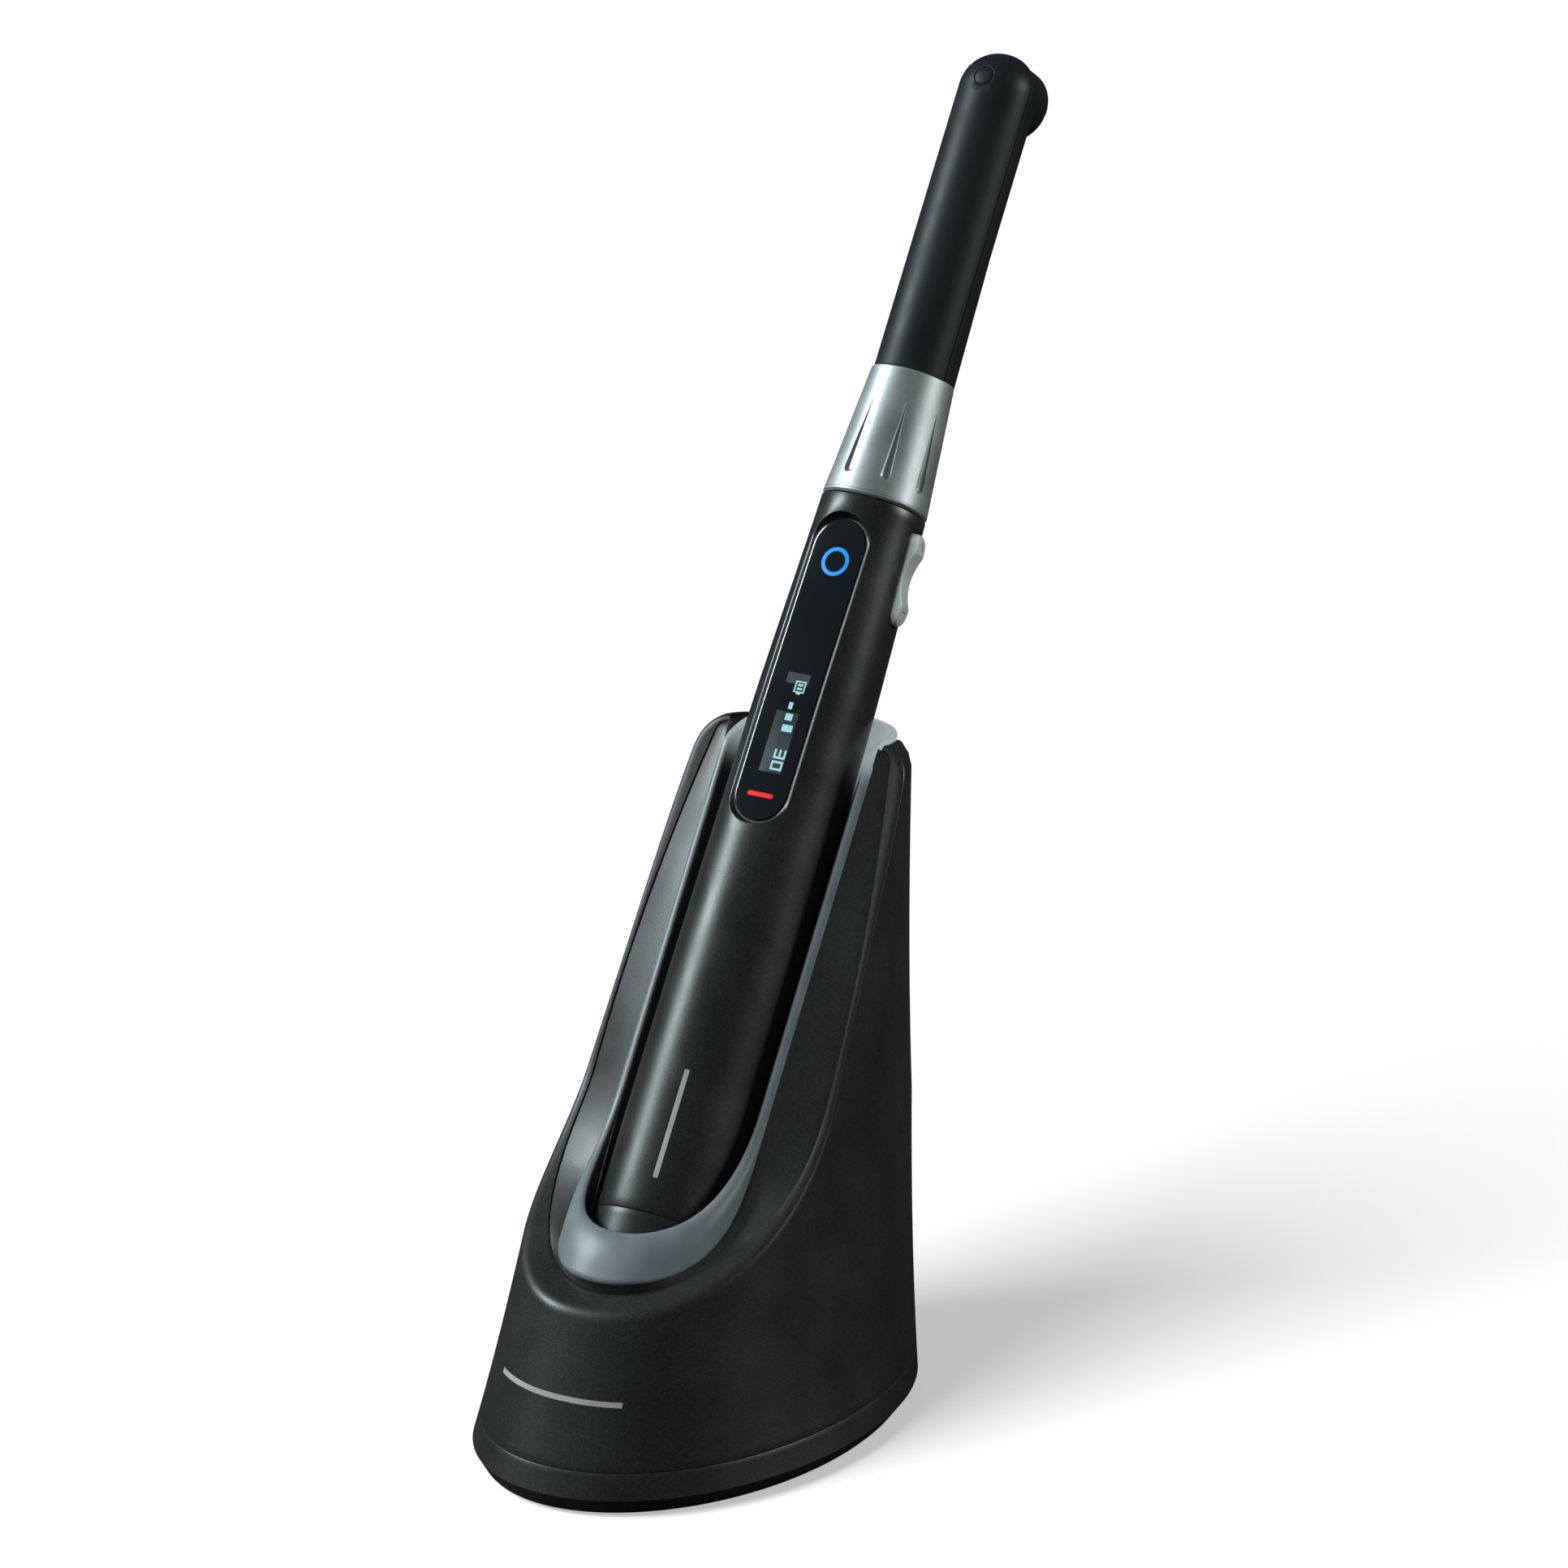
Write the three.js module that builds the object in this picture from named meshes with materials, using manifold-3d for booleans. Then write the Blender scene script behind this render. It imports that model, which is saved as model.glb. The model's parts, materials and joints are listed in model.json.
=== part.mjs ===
// A cordless dental curing light leaning in its charging dock, in millimetres.
// +Z is up, the dock's front faces -Y, and the origin is the middle of its footprint on the table.
// The wand's own frame has its axis along Z, its display towards -Y and its rocker towards +X.
import * as THREE from "three";
import { mergeVertices } from "three/addons/utils/BufferGeometryUtils.js";
import Module from "manifold-3d";

const wasm = await Module();
wasm.setup();

// ---- driving dimensions ----
const GAP = 0.3; // running gap between pieces
const SEAM = 0.1; // visible parting gap between two shells

const LEAN = THREE.MathUtils.degToRad(33.2); // wand axis from vertical
const WAND_FOOT = [0, -17.8, 38.7]; // lower end of the wand axis, in the dock's frame

const HANDLE_R = [[0, 12.4], [10, 12.6], [60, 12.5], [114, 11.9], [156, 10.5]]; // height, radius
const HANDLE_WALL = 2;
const CAP_TOP = 8; // end cap's parting line
const COLLAR_BOTTOM = 156;
const COLLAR_TOP = 183;
const COLLAR_BOTTOM_R = 10.65;
const COLLAR_TOP_R = 8.4;
const FLUTES = 8;
const FIRST_FLUTE = -59; // degrees round from the wand's side
const NECK_R = 8.03;
const NECK_BACK = 7; // half-depth of the neck's flatter back
const NECK_HEEL = 9.4; // the same at the collar, where the back overhangs
const HEEL_LENGTH = 28;
const NECK_WALL = 1.4;
const SEAM_Y = -1.7; // plane that parts the neck's two shells
const HEAD_Z = 242.6; // centre of the fingertip and of the lens barrel
const BARREL_R = 7.6;
const BARREL_FACE = 7.6; // lens face, behind the axis
const LENS_R = 5;
const MARK_RISE = 1.3; // small disc on the fingertip, above the head's centre
const MARK_R = 2;

const PANEL_Z = 119.4; // middle of the display recess
const WINDOW_LENGTH = 62.5;
const WINDOW_W = 11.4;
const RECESS_RIM = 0.7;
const WINDOW_SINK = 0.35;
const WINDOW_T = 1.2;
const RING_Z = 141.9;
const RING_R = 3;
const OLED_Z = 108.3;
const BAR_Z = 93.3;

const ROCKER_ROUND = 6; // degrees behind the wand's side
const ROCKER_Z = 143;
const ROCKER_LENGTH = 19;
const ROCKER_W = 4.7;
const ROCKER_PIN_X = 6.5;
const ROCKER_PIN_R = 0.8;
const ROCKER_GAP = 0.35;
const SWITCH_Z = 6; // switches above and below the rocker pin
const SWITCH_TOP = 6.4;
const SWITCH_REST = 0.45; // rocker nub above the switch at rest

const DOCK_TOP = 131;
const DOCK_ROUND = 6; // rounding of the dock's top edge
const SKIRT_TOP = 9;
const SHELL_WALL = 2.6;
const FACE_SINK = 0.7; // face panel below the shell's rim
const FACE_T = 2.2;
const FACE_TOP = 106; // along the wand
const RIM_DEPTH = 4.8; // shell's front edge, behind the wand axis
const RIM_DROP = 24.3;
const RIM_BEND = 36; // height where the edge starts to come forward
const RIM_FOOT = -14.6;
const RIM_HALF = 28;
const RIM_TOP_HALF = 24;
const CRADLE_DEPTH = -0.5; // the same for the cradle's edge
const CRADLE_DROP = 17.7;
const CRADLE_BEND = 25;
const CRADLE_FOOT = -7;
const CRADLE_Y = -1; // middle of the cradle, in the wand's frame
const LINER_IN = 14.4;
const LINER_OUT = 17.2;
const LIP_DEPTH = -4.6; // liner's lip at its middle, behind the wand axis
const LIP_DROP = 13.5;
const LIP_BEND = 34; // height where the lip starts to come forward
const LIP_FOOT = -10;
const LIP_CROWN = 0.0117; // fall of the lip per square millimetre off the middle
const LINER_TOP = 115;
const LINER_BOTTOM = -6;
const CUP_T = 1.5;
const CUP_TOP = 96;
const PIN_SPACING = 8;
const PIN_R = 0.9;
const PAD_R = 2; // contact pad in the wand's foot
const PAD_T = 0.7; // anti-slip pad under the dock
const PAD_INSET = 6;
const TRAY_LIFT = PAD_T + SEAM;
const TRAY_T = 2.2;
const BALLAST_TOP = 11;
const BOARD_LOW = 13; // charging board, on four posts
const BOARD_TOP = 14.6;
const BOARD_HALF = 17; // half-width of the board and the ballast
const POSTS = [[-14, -22], [14, -22], [-14, 26], [14, 26]];
const POST_R = 2;
const DC_Z = 17; // power socket
const DC_R = 3.3;
const SCREWS = [[22, -26], [24, 30]]; // mirrored left and right
const BOSS_R = 4;
const BOSS_HEIGHT = 16;
const BOSS_SIDES = 10;
const SCREW_R = 1.5;
const SCREW_HEAD_R = 2.8;
const SCREW_HEAD_TOP = 4;
const BARREL_OF_PIN_R = 1.5; // brass barrel round a charging pin
const BLOCK_T = 5; // block that holds the charging pins
const PIN_STOP = 2.4; // pin's lower end above the block's foot
const NOTCH_DEPTH = 7; // notch in the liner's top at the back
const NOTCH_SLOPE = 0.8;

const CELL_LOW = 16;
const CELL_TOP = 65.4;
const CELL_R = 7;
const BATTERY_NUB_R = 2.6;
const MAIN_BOARD_LOW = 68;
const MAIN_BOARD_TOP = 146;
const SPIGOT_IN = 4.6; // steel tube inside the collar, on which it turns
const SPIGOT_OUT = 6.3;
const SPIGOT_LOW = 154;
const SEAL_Z = 163; // rubber ring in the tube's groove
const SEAL_R = 0.5;
const SOCKET_IN = 6.6; // brass socket round the tube
const LENS_T = 2.4;
const BEZEL_T = 0.6;

const ROUND = 32; // facets round the wand
const SMALL = 14; // facets round a small cylinder
const TINY = 8; // facets round a screw or a pin
const FAR = 90; // past the whole dock in any direction
const DOCK_SIDES = 40;

// ---- solids ----
// A closed geometry as a manifold-3d solid, its faces turned outwards.
function solid(geometry) {
  const bare = geometry.index ? geometry.toNonIndexed() : geometry.clone();
  bare.deleteAttribute("normal");
  bare.deleteAttribute("uv");
  const merged = mergeVertices(bare, 1e-4);
  const corners = merged.index.array;
  const faces = [];
  for (let i = 0; i < corners.length; i += 3) {
    const [a, b, c] = corners.slice(i, i + 3);
    if (a !== b && b !== c && a !== c) faces.push([a, b, c]);
  }
  const build = (list) =>
    new wasm.Manifold(
      new wasm.Mesh({
        numProp: 3,
        vertProperties: merged.attributes.position.array,
        triVerts: new Uint32Array(list.flat()),
      }),
    );
  const made = build(faces);
  return made.volume() > 0 ? made : build(faces.map(([a, b, c]) => [a, c, b]));
}

function geometryOf(made) {
  const mesh = made.getMesh();
  return new THREE.BufferGeometry()
    .setAttribute("position", new THREE.BufferAttribute(mesh.vertProperties, 3))
    .setIndex(new THREE.BufferAttribute(mesh.triVerts, 1));
}

// Turned about Z from [radius, height] points that start and end on the axis or close on themselves.
function turned(points, sides = ROUND) {
  const profile = points.map(([r, z]) => new THREE.Vector2(r, z));
  return solid(new THREE.LatheGeometry(profile, sides).rotateX(Math.PI / 2));
}

// A ring or tube turned about Z.
function ring(inner, outer, z0, z1, sides = ROUND) {
  return turned([[inner, z0], [outer, z0], [outer, z1], [inner, z1], [inner, z0]], sides);
}

function disc(radius, z0, z1, sides = SMALL) {
  return turned([[0, z0], [radius, z0], [radius, z1], [0, z1]], sides);
}

function box(x0, x1, y0, y1, z0, z1) {
  const geometry = new THREE.BoxGeometry(x1 - x0, y1 - y0, z1 - z0);
  return solid(geometry.translate((x0 + x1) / 2, (y0 + y1) / 2, (z0 + z1) / 2));
}

// Rings of points, each with the same count, joined into one closed body.
function loft(rings) {
  const count = rings[0].length;
  const middle = (points) =>
    points.reduce((sum, p) => sum.map((v, i) => v + p[i] / points.length), [0, 0, 0]);
  const points = [...rings.flat(), middle(rings[0]), middle(rings.at(-1))];
  const low = points.length - 2;
  const high = points.length - 1;
  const last = (rings.length - 1) * count;
  const index = [];
  for (let i = 0; i < count; i++) {
    const next = (i + 1) % count;
    for (let k = 0; k < last; k += count)
      index.push(k + i, k + next, k + count + next, k + i, k + count + next, k + count + i);
    index.push(low, next, i, high, last + i, last + next);
  }
  const positions = new THREE.Float32BufferAttribute(points.flat(), 3);
  return solid(new THREE.BufferGeometry().setAttribute("position", positions).setIndex(index));
}

// A stadium-shaped prism standing along Z in the XZ plane, from y0 to y1.
function stadium(width, length, y0, y1, z) {
  const r = width / 2;
  const half = length / 2 - r;
  const shape = new THREE.Shape()
    .moveTo(r, -half)
    .lineTo(r, half)
    .absarc(0, half, r, 0, Math.PI)
    .lineTo(-r, -half)
    .absarc(0, -half, r, Math.PI, 2 * Math.PI);
  const prism = new THREE.ExtrudeGeometry(shape, { depth: y1 - y0, bevelEnabled: false, curveSegments: 10 });
  return solid(prism.rotateX(Math.PI / 2).translate(0, y1, z));
}

const alongY = (made) => made.rotate([-90, 0, 0]); // turns a solid's +Z to +Y

// ---- materials ----
function material(color, roughness, metalness = 0, opacity = 1) {
  return new THREE.MeshStandardMaterial({ color, roughness, metalness, opacity, transparent: opacity < 1 });
}
const looks = {
  handle: () => material(0x34373a, 0.42, 0.5),
  satinBlack: () => material(0x17191b, 0.45),
  dock: () => material(0x1b1e20, 0.6),
  silicone: () => material(0xa3b3ba, 0.5, 0, 0.85),
  collar: () => material(0xb9bcbd, 0.32, 0.9),
  grey: () => material(0x7f8588, 0.5),
  glossBlack: () => material(0x06090c, 0.08),
  steel: () => material(0x9a9da0, 0.3, 1),
  brass: () => material(0xd2b055, 0.3, 1),
  board: () => material(0x1d5a38, 0.6),
  rubber: () => material(0x1c1c1c, 0.9),
  cell: () => material(0x2f5f94, 0.4),
  blueLight: () => material(0x1fb4ff, 0.3),
  redLight: () => material(0xff2a2a, 0.3),
  lens: () => material(0xe8f0f4, 0.05, 0, 0.5),
};

const root = new THREE.Group();
const wand = new THREE.Group();
wand.position.set(...WAND_FOOT);
wand.rotation.x = -LEAN;
root.add(wand);

function add(parent, name, made, look) {
  const mesh = new THREE.Mesh(geometryOf(made), looks[look]());
  mesh.name = name;
  parent.add(mesh);
}

// ---- dock surfaces ----
// Half-width, back and front of the dock's outside at a height.
const dockHalf = (z) => 25.9 - 0.016 * z + 12.5 * Math.exp(-z / 50);
const dockBack = (z) => 56 + 0.8 * ((z - 60) / 60) ** 2;
const dockFront = (z) => -57.6 + 0.42 * z;
const frontPower = (z) => 2 + 0.4 * Math.min(1, z / 60);
const backPower = (z) => 2 + 0.7 * Math.min(1, z / 60);

// One level ring of the dock's outside, moved inwards by an offset.
function dockRing(z, inset, level = z) {
  const a = dockHalf(level) - inset;
  const back = dockBack(level) - inset;
  const front = dockFront(level) + inset;
  const middle = (back + front) / 2;
  const b = (back - front) / 2;
  const points = [];
  for (let i = 0; i < DOCK_SIDES; i++) {
    const t = (2 * Math.PI * i) / DOCK_SIDES;
    const power = 2 / (Math.cos(t) > 0 ? frontPower(level) : backPower(level));
    const x = Math.sign(Math.sin(t)) * Math.abs(Math.sin(t)) ** power;
    const y = Math.sign(Math.cos(t)) * Math.abs(Math.cos(t)) ** power;
    points.push([a * x, middle - b * y, z]);
  }
  return points;
}

function steps(from, to, count) {
  return Array.from({ length: count + 1 }, (_, i) => from + ((to - from) * i) / count);
}

// The dock's outside from a height up to its rounded top, moved inwards by an offset.
function dockBody(bottom, inset) {
  const shoulder = DOCK_TOP - DOCK_ROUND - inset / 2;
  const rise = DOCK_ROUND - inset / 2;
  const rings = steps(bottom, shoulder, 6).map((z) => dockRing(z, inset));
  for (const t of [0.35, 0.7, 1]) {
    const turn = (t * Math.PI) / 2;
    const inwards = inset + DOCK_ROUND * (1 - Math.cos(turn));
    rings.push(dockRing(shoulder + rise * Math.sin(turn), inwards));
  }
  return loft(rings);
}

// Everything in front of the liner's lip, which is crowned from side to side.
function inFrontOfLip() {
  const across = steps(-24, 24, 8);
  const lipDepth = (x, z) => {
    const t = THREE.MathUtils.clamp((LIP_BEND - z) / (LIP_BEND - LIP_FOOT), 0, 1);
    return LIP_DEPTH - LIP_DROP * t * t * (3 - 2 * t) + LIP_CROWN * x * x;
  };
  const rings = [-40, ...steps(LIP_FOOT - 2, LIP_BEND + 2, 8), 90, 150].map((z) => {
    const back = across.map((x) => [x, lipDepth(x, z), z]).reverse();
    return [...across.map((x) => [x, -FAR, z]), ...back];
  });
  return loft(rings);
}

// Depths behind the wand axis, by height along the wand: of the dock shell's front edge,
// and of the cradle's edge further in.
const rimDepth = (z) => RIM_DEPTH - RIM_DROP * (Math.max(0, RIM_BEND - z) / (RIM_BEND - RIM_FOOT)) ** 1.8;
const cradleDepth = (z) =>
  CRADLE_DEPTH - CRADLE_DROP * (Math.max(0, CRADLE_BEND - z) / (CRADLE_BEND - CRADLE_FOOT)) ** 2;

// A solid in the wand's frame: everything in front of a depth that varies with height.
function inFrontOf(depth, heights) {
  const edge = heights.map((z) => [depth(z), z]);
  const outline = [[-FAR, heights[0]], ...edge, [-FAR, heights.at(-1)]];
  const shape = new THREE.Shape(outline.map(([y, z]) => new THREE.Vector2(y, z)));
  const prism = new THREE.ExtrudeGeometry(shape, { depth: 2 * FAR, bevelEnabled: false });
  const [x, y, z] = [[1, 0, 0], [0, 1, 0], [0, 0, 1]].map((axis) => new THREE.Vector3(...axis));
  return solid(prism.translate(0, 0, -FAR).applyMatrix4(new THREE.Matrix4().makeBasis(y, z, x)));
}

// A point on a U-shaped edge of the face: round the foot for |t| up to 1, then up the side to |t| = 2.
function edgePoint(t, foot, bend, half, topHalf) {
  const side = Math.sign(t);
  const k = Math.abs(t);
  const turn = (Math.min(k, 1) * Math.PI) / 2;
  const rise = Math.max(0, k - 1);
  const z = bend - (bend - foot) * Math.cos(turn) + rise * (FACE_TOP - bend);
  return [side * (half * Math.sin(turn) + rise * (topHalf - half)), z];
}

// The U-shaped face between the cradle's edge and the shell's, as a slab between two depths behind it.
function facePanel(near, far) {
  const section = (t) => {
    const [xi, zi] = edgePoint(t, CRADLE_FOOT, CRADLE_BEND - 10, LINER_OUT - 1, LINER_OUT - 1);
    const [xo, zo] = edgePoint(t, RIM_FOOT, RIM_BEND - 16, RIM_HALF, RIM_TOP_HALF);
    const yi = cradleDepth(zi) + FACE_SINK;
    const yo = rimDepth(zo) + FACE_SINK;
    const inner = (depth) => [xi, yi + depth, zi + depth / 2];
    const outer = (depth) => [xo, yo + depth, zo + depth / 2];
    return [inner(near), outer(near), outer(far), inner(far)];
  };
  return loft(steps(-2, 2, 28).map(section));
}

const toDock = (made) => made.rotate([-THREE.MathUtils.radToDeg(LEAN), 0, 0]).translate(WAND_FOOT);
const cradle = (made) => made.translate([0, CRADLE_Y, 0]);

// ---- dock ----
function buildDock() {
  const outside = dockBody(SKIRT_TOP, 0);
  const inside = dockBody(SKIRT_TOP - 1, SHELL_WALL);
  const scoop = toDock(inFrontOf(rimDepth, [-40, ...steps(RIM_FOOT - 2, RIM_BEND, 12), 150]));
  const channel = toDock(cradle(disc(LINER_OUT + GAP, LINER_BOTTOM, 150, ROUND)));
  const jackHole = alongY(disc(3.6, 40, 70)).translate([0, 0, DC_Z]);
  let bosses = null;
  let shanks = null;
  for (const [x, y] of SCREWS)
    for (const side of [-1, 1]) {
      const at = [side * x, y, 0];
      const bossTop = SKIRT_TOP + BOSS_HEIGHT;
      const boss = disc(BOSS_R, SKIRT_TOP, bossTop, BOSS_SIDES);
      const rib = box(0, 10, -1, 1, SKIRT_TOP, bossTop).rotate([0, 0, side > 0 ? 0 : 180]);
      const whole = boss.add(rib).translate(at);
      const shank = disc(SCREW_R + GAP, 0, bossTop - 4, TINY).translate(at);
      bosses = bosses ? bosses.add(whole) : whole;
      shanks = shanks ? shanks.add(shank) : shank;
    }
  const shell = outside
    .subtract(inside)
    .add(bosses.intersect(outside))
    .subtract(shanks)
    .subtract(scoop)
    .subtract(channel)
    .subtract(jackHole);
  add(root, "dock_shell", shell, "dock");

  const mouth = dockBody(SKIRT_TOP + 4, SHELL_WALL + GAP);
  const panel = toDock(facePanel(0, FACE_T));
  const keep = box(-60, 60, -80, 80, 30, DOCK_TOP - 8);
  add(root, "dock_face_panel", panel.intersect(mouth).intersect(keep).subtract(channel), "dock");

  buildTray(shanks);
  buildCradle();
}

// The tray that closes the dock from below, with its pad and screws, and what stands on it.
function buildTray(shanks) {
  const levels = [[TRAY_LIFT, 3], [2, 1], [4, 0], [SKIRT_TOP - SEAM, 0]];
  const outer = loft(levels.map(([z, inset]) => dockRing(z, inset)));
  const floor = TRAY_LIFT + TRAY_T;
  const inner = loft([floor, SKIRT_TOP + 1].map((z) => dockRing(z, SHELL_WALL)));
  let tray = outer.subtract(inner);
  let pad = loft([0, PAD_T].map((z) => dockRing(z, PAD_INSET, 0)));
  for (const [x, y] of POSTS)
    tray = tray.add(disc(POST_R, TRAY_LIFT + 1, BOARD_LOW - SEAM, TINY).translate([x, y, 0]));
  for (const [x, y] of SCREWS)
    for (const side of [-1, 1]) {
      const at = [side * x, y, 0];
      const seat = disc(BOSS_R + 0.6, TRAY_LIFT + 1, SKIRT_TOP - 2 * SEAM, BOSS_SIDES);
      const sink = disc(SCREW_HEAD_R + 0.4, -1, SCREW_HEAD_TOP, BOSS_SIDES);
      tray = tray.add(seat.translate(at)).subtract(sink.translate(at));
      const head = disc(SCREW_HEAD_R, TRAY_LIFT + 0.6, SCREW_HEAD_TOP - SEAM, BOSS_SIDES);
      const shank = disc(SCREW_R, SCREW_HEAD_TOP - 1, SKIRT_TOP + 9, TINY);
      const place = (y < 0 ? "front_" : "rear_") + (side < 0 ? "left" : "right");
      add(root, "base_screw_" + place, head.add(shank).translate(at), "steel");
      const padHole = disc(SCREW_HEAD_R + 0.6, -1, SCREW_HEAD_TOP, BOSS_SIDES);
      pad = pad.subtract(padHole.translate(at));
    }
  add(root, "base_pad", pad, "rubber");
  add(root, "base_tray", tray.subtract(shanks), "dock");

  const ballast = box(-BOARD_HALF, BOARD_HALF, -38, 40, floor + GAP, BALLAST_TOP);
  const holes = POSTS.map(([x, y]) => disc(POST_R + GAP, 0, 20, TINY).translate([x, y, 0]));
  const clear = holes.reduce((made, hole) => made.subtract(hole), ballast);
  add(root, "ballast_block", clear, "steel");
  const board = box(-BOARD_HALF, BOARD_HALF, -28, 40, BOARD_LOW, BOARD_TOP);
  add(root, "charge_board", board, "board");
  addSocket();
}

// The power socket at the dock's back.
function addSocket() {
  const rod = (radius, y0, y1, sides = SMALL) => alongY(disc(radius, y0, y1, sides)).translate([0, 0, DC_Z]);
  const body = box(-4.5, 4.5, 41, 51.5, BOARD_TOP - 0.6, BOARD_TOP + 6.4);
  const socket = body
    .add(rod(DC_R, 51, 53))
    .subtract(rod(DC_R - 0.9, 43, 60))
    .add(rod(0.7, 42, 52, TINY));
  add(root, "dc_socket", socket, "rubber");
}

const cradleSteps = () => [-40, ...steps(LINER_BOTTOM - 4, CRADLE_BEND, 12), 150];

// The silicone liner, its rigid cup and the charging contacts, in the wand's frame.
function buildCradle() {
  const onPins = (made) =>
    [-1, 1].map((side) => made.translate([(side * PIN_SPACING) / 2, 0, 0])).reduce((a, b) => a.add(b));
  const pinHoles = onPins(disc(PIN_R + 0.7, -60, 5));
  const bore = disc(LINER_IN, -0.4, 150, ROUND);
  const sleeve = disc(LINER_OUT, LINER_BOTTOM, LINER_TOP, ROUND);
  const notch = (z) => NOTCH_SLOPE * (z - LINER_TOP) + NOTCH_DEPTH;
  const liner = cradle(sleeve.subtract(bore))
    .subtract(inFrontOfLip())
    .subtract(inFrontOf(notch, [LINER_TOP - 14, LINER_TOP + 2]))
    .subtract(pinHoles);
  add(wand, "cradle_liner", liner, "silicone");

  const cupIn = LINER_OUT + GAP;
  const cupLow = LINER_BOTTOM - GAP;
  const cupOuter = disc(cupIn + CUP_T, cupLow - CUP_T, CUP_TOP, ROUND);
  const cupInner = disc(cupIn, cupLow, CUP_TOP + 1, ROUND);
  const clear = FACE_SINK + FACE_T + GAP;
  const cradleEdge = inFrontOf((z) => cradleDepth(z) + clear, cradleSteps());
  const under = cradleEdge.add(facePanel(-60, FACE_T + GAP));
  const fit = dockBody(SKIRT_TOP + 4, SHELL_WALL + GAP)
    .translate(WAND_FOOT.map((v) => -v))
    .rotate([THREE.MathUtils.radToDeg(LEAN), 0, 0]);
  const cup = cradle(cupOuter.subtract(cupInner)).subtract(under).intersect(fit).subtract(pinHoles);
  add(wand, "cradle_cup", cup, "satinBlack");

  const blockTop = cupLow - GAP - CUP_T;
  const blockLow = blockTop - BLOCK_T;
  const barrelTop = blockTop - 0.2;
  const block = box(-8, 8, -4, 4, blockLow, blockTop);
  const barrelHoles = onPins(disc(BARREL_OF_PIN_R + SEAM, blockLow - 3, 5));
  add(wand, "contact_block", block.subtract(barrelHoles), "satinBlack");
  for (const side of [-1, 1]) {
    const name = side < 0 ? "left" : "right";
    const at = [(side * PIN_SPACING) / 2, 0, 0];
    const pinBore = disc(PIN_R + 0.1, blockLow + 1, barrelTop + 1);
    const barrel = disc(BARREL_OF_PIN_R, blockLow - 1, barrelTop).subtract(pinBore);
    add(wand, "contact_barrel_" + name, barrel.translate(at), "brass");
    const pinLow = blockLow + PIN_STOP;
    const pin = turned([[0, pinLow], [PIN_R, pinLow], [PIN_R, -0.5], [0.5, 0.1], [0, 0.1]], SMALL);
    add(wand, "contact_pin_" + name, pin.translate(at), "brass");
  }
}

// ---- wand handle ----
function handleRadius(z) {
  const k = HANDLE_R.findIndex(([height]) => height >= z);
  if (k <= 0) return HANDLE_R[Math.max(k, 0)][1];
  const [z0, r0] = HANDLE_R[k - 1];
  const [z1, r1] = HANDLE_R[k];
  return r0 + ((r1 - r0) * (z - z0)) / (z1 - z0);
}

// A sleeve that follows the handle's outside between two heights, inset by two depths.
function handleSleeve(z0, z1, outerInset, innerInset) {
  const between = HANDLE_R.map(([z]) => z).filter((z) => z > z0 && z < z1);
  const levels = [z0, ...between, z1];
  const out = levels.map((z) => [handleRadius(z) - outerInset, z]);
  const back = levels.map((z) => [handleRadius(z) - innerInset, z]).reverse();
  return turned([...out, ...back, out[0]]);
}

function buildHandle() {
  const top = COLLAR_BOTTOM - GAP;
  const hole = (grow) => stadium(WINDOW_W + 2 * grow, WINDOW_LENGTH + 2 * grow, -20, -4, PANEL_Z);
  const recess = hole(RECESS_RIM);
  const opening = hole(SEAM);
  const ledge = handleSleeve(CAP_TOP, top, -2, 0.6);
  const slot = rockerFrame(slotPrism(ROCKER_W + 2 * ROCKER_GAP, ROCKER_LENGTH + 2 * ROCKER_GAP, 7, 16));
  const shell = handleSleeve(CAP_TOP + SEAM, top, 0, HANDLE_WALL)
    .subtract(recess.intersect(ledge))
    .subtract(opening)
    .subtract(slot);
  add(wand, "handle_shell", shell, "handle");

  const plate = handleSleeve(80, 155, WINDOW_SINK, WINDOW_SINK + WINDOW_T);
  const pane = plate.intersect(hole(0));
  add(wand, "display_window", pane, "glossBlack");

  const foot = handleRadius(0);
  const capTop = handleRadius(CAP_TOP);
  const capIn = capTop - HANDLE_WALL - 0.2;
  const capShape = turned([
    [0, 0], [foot - 2.2, 0], [foot - 0.6, 0.7], [foot, 2.4], [capTop, CAP_TOP],
    [capIn, CAP_TOP], [foot - HANDLE_WALL - 0.4, 3], [0, 3],
  ]);
  const spigot = ring(8.4, capIn, 2, CAP_TOP + 4);
  const tap = (x) => disc(PAD_R + SEAM, -1, 5).translate([x, 0, 0]);
  const cap = capShape.add(spigot).subtract(tap(-PIN_SPACING / 2)).subtract(tap(PIN_SPACING / 2));
  add(wand, "end_cap", cap, "handle");
  for (const side of [-1, 1]) {
    const pad = disc(PAD_R, 0.4, 3.5).translate([(side * PIN_SPACING) / 2, 0, 0]);
    add(wand, "charge_pad_" + (side < 0 ? "left" : "right"), pad, "brass");
  }
}

// ---- rocker, in a frame turned round the wand so that its +X points outwards ----
const rockerFrame = (made) => made.rotate([0, 0, ROCKER_ROUND]);
const slotPrism = (width, length, x0, x1) =>
  stadium(width, length, -x1, -x0, ROCKER_Z).rotate([0, 0, 90]);

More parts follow.
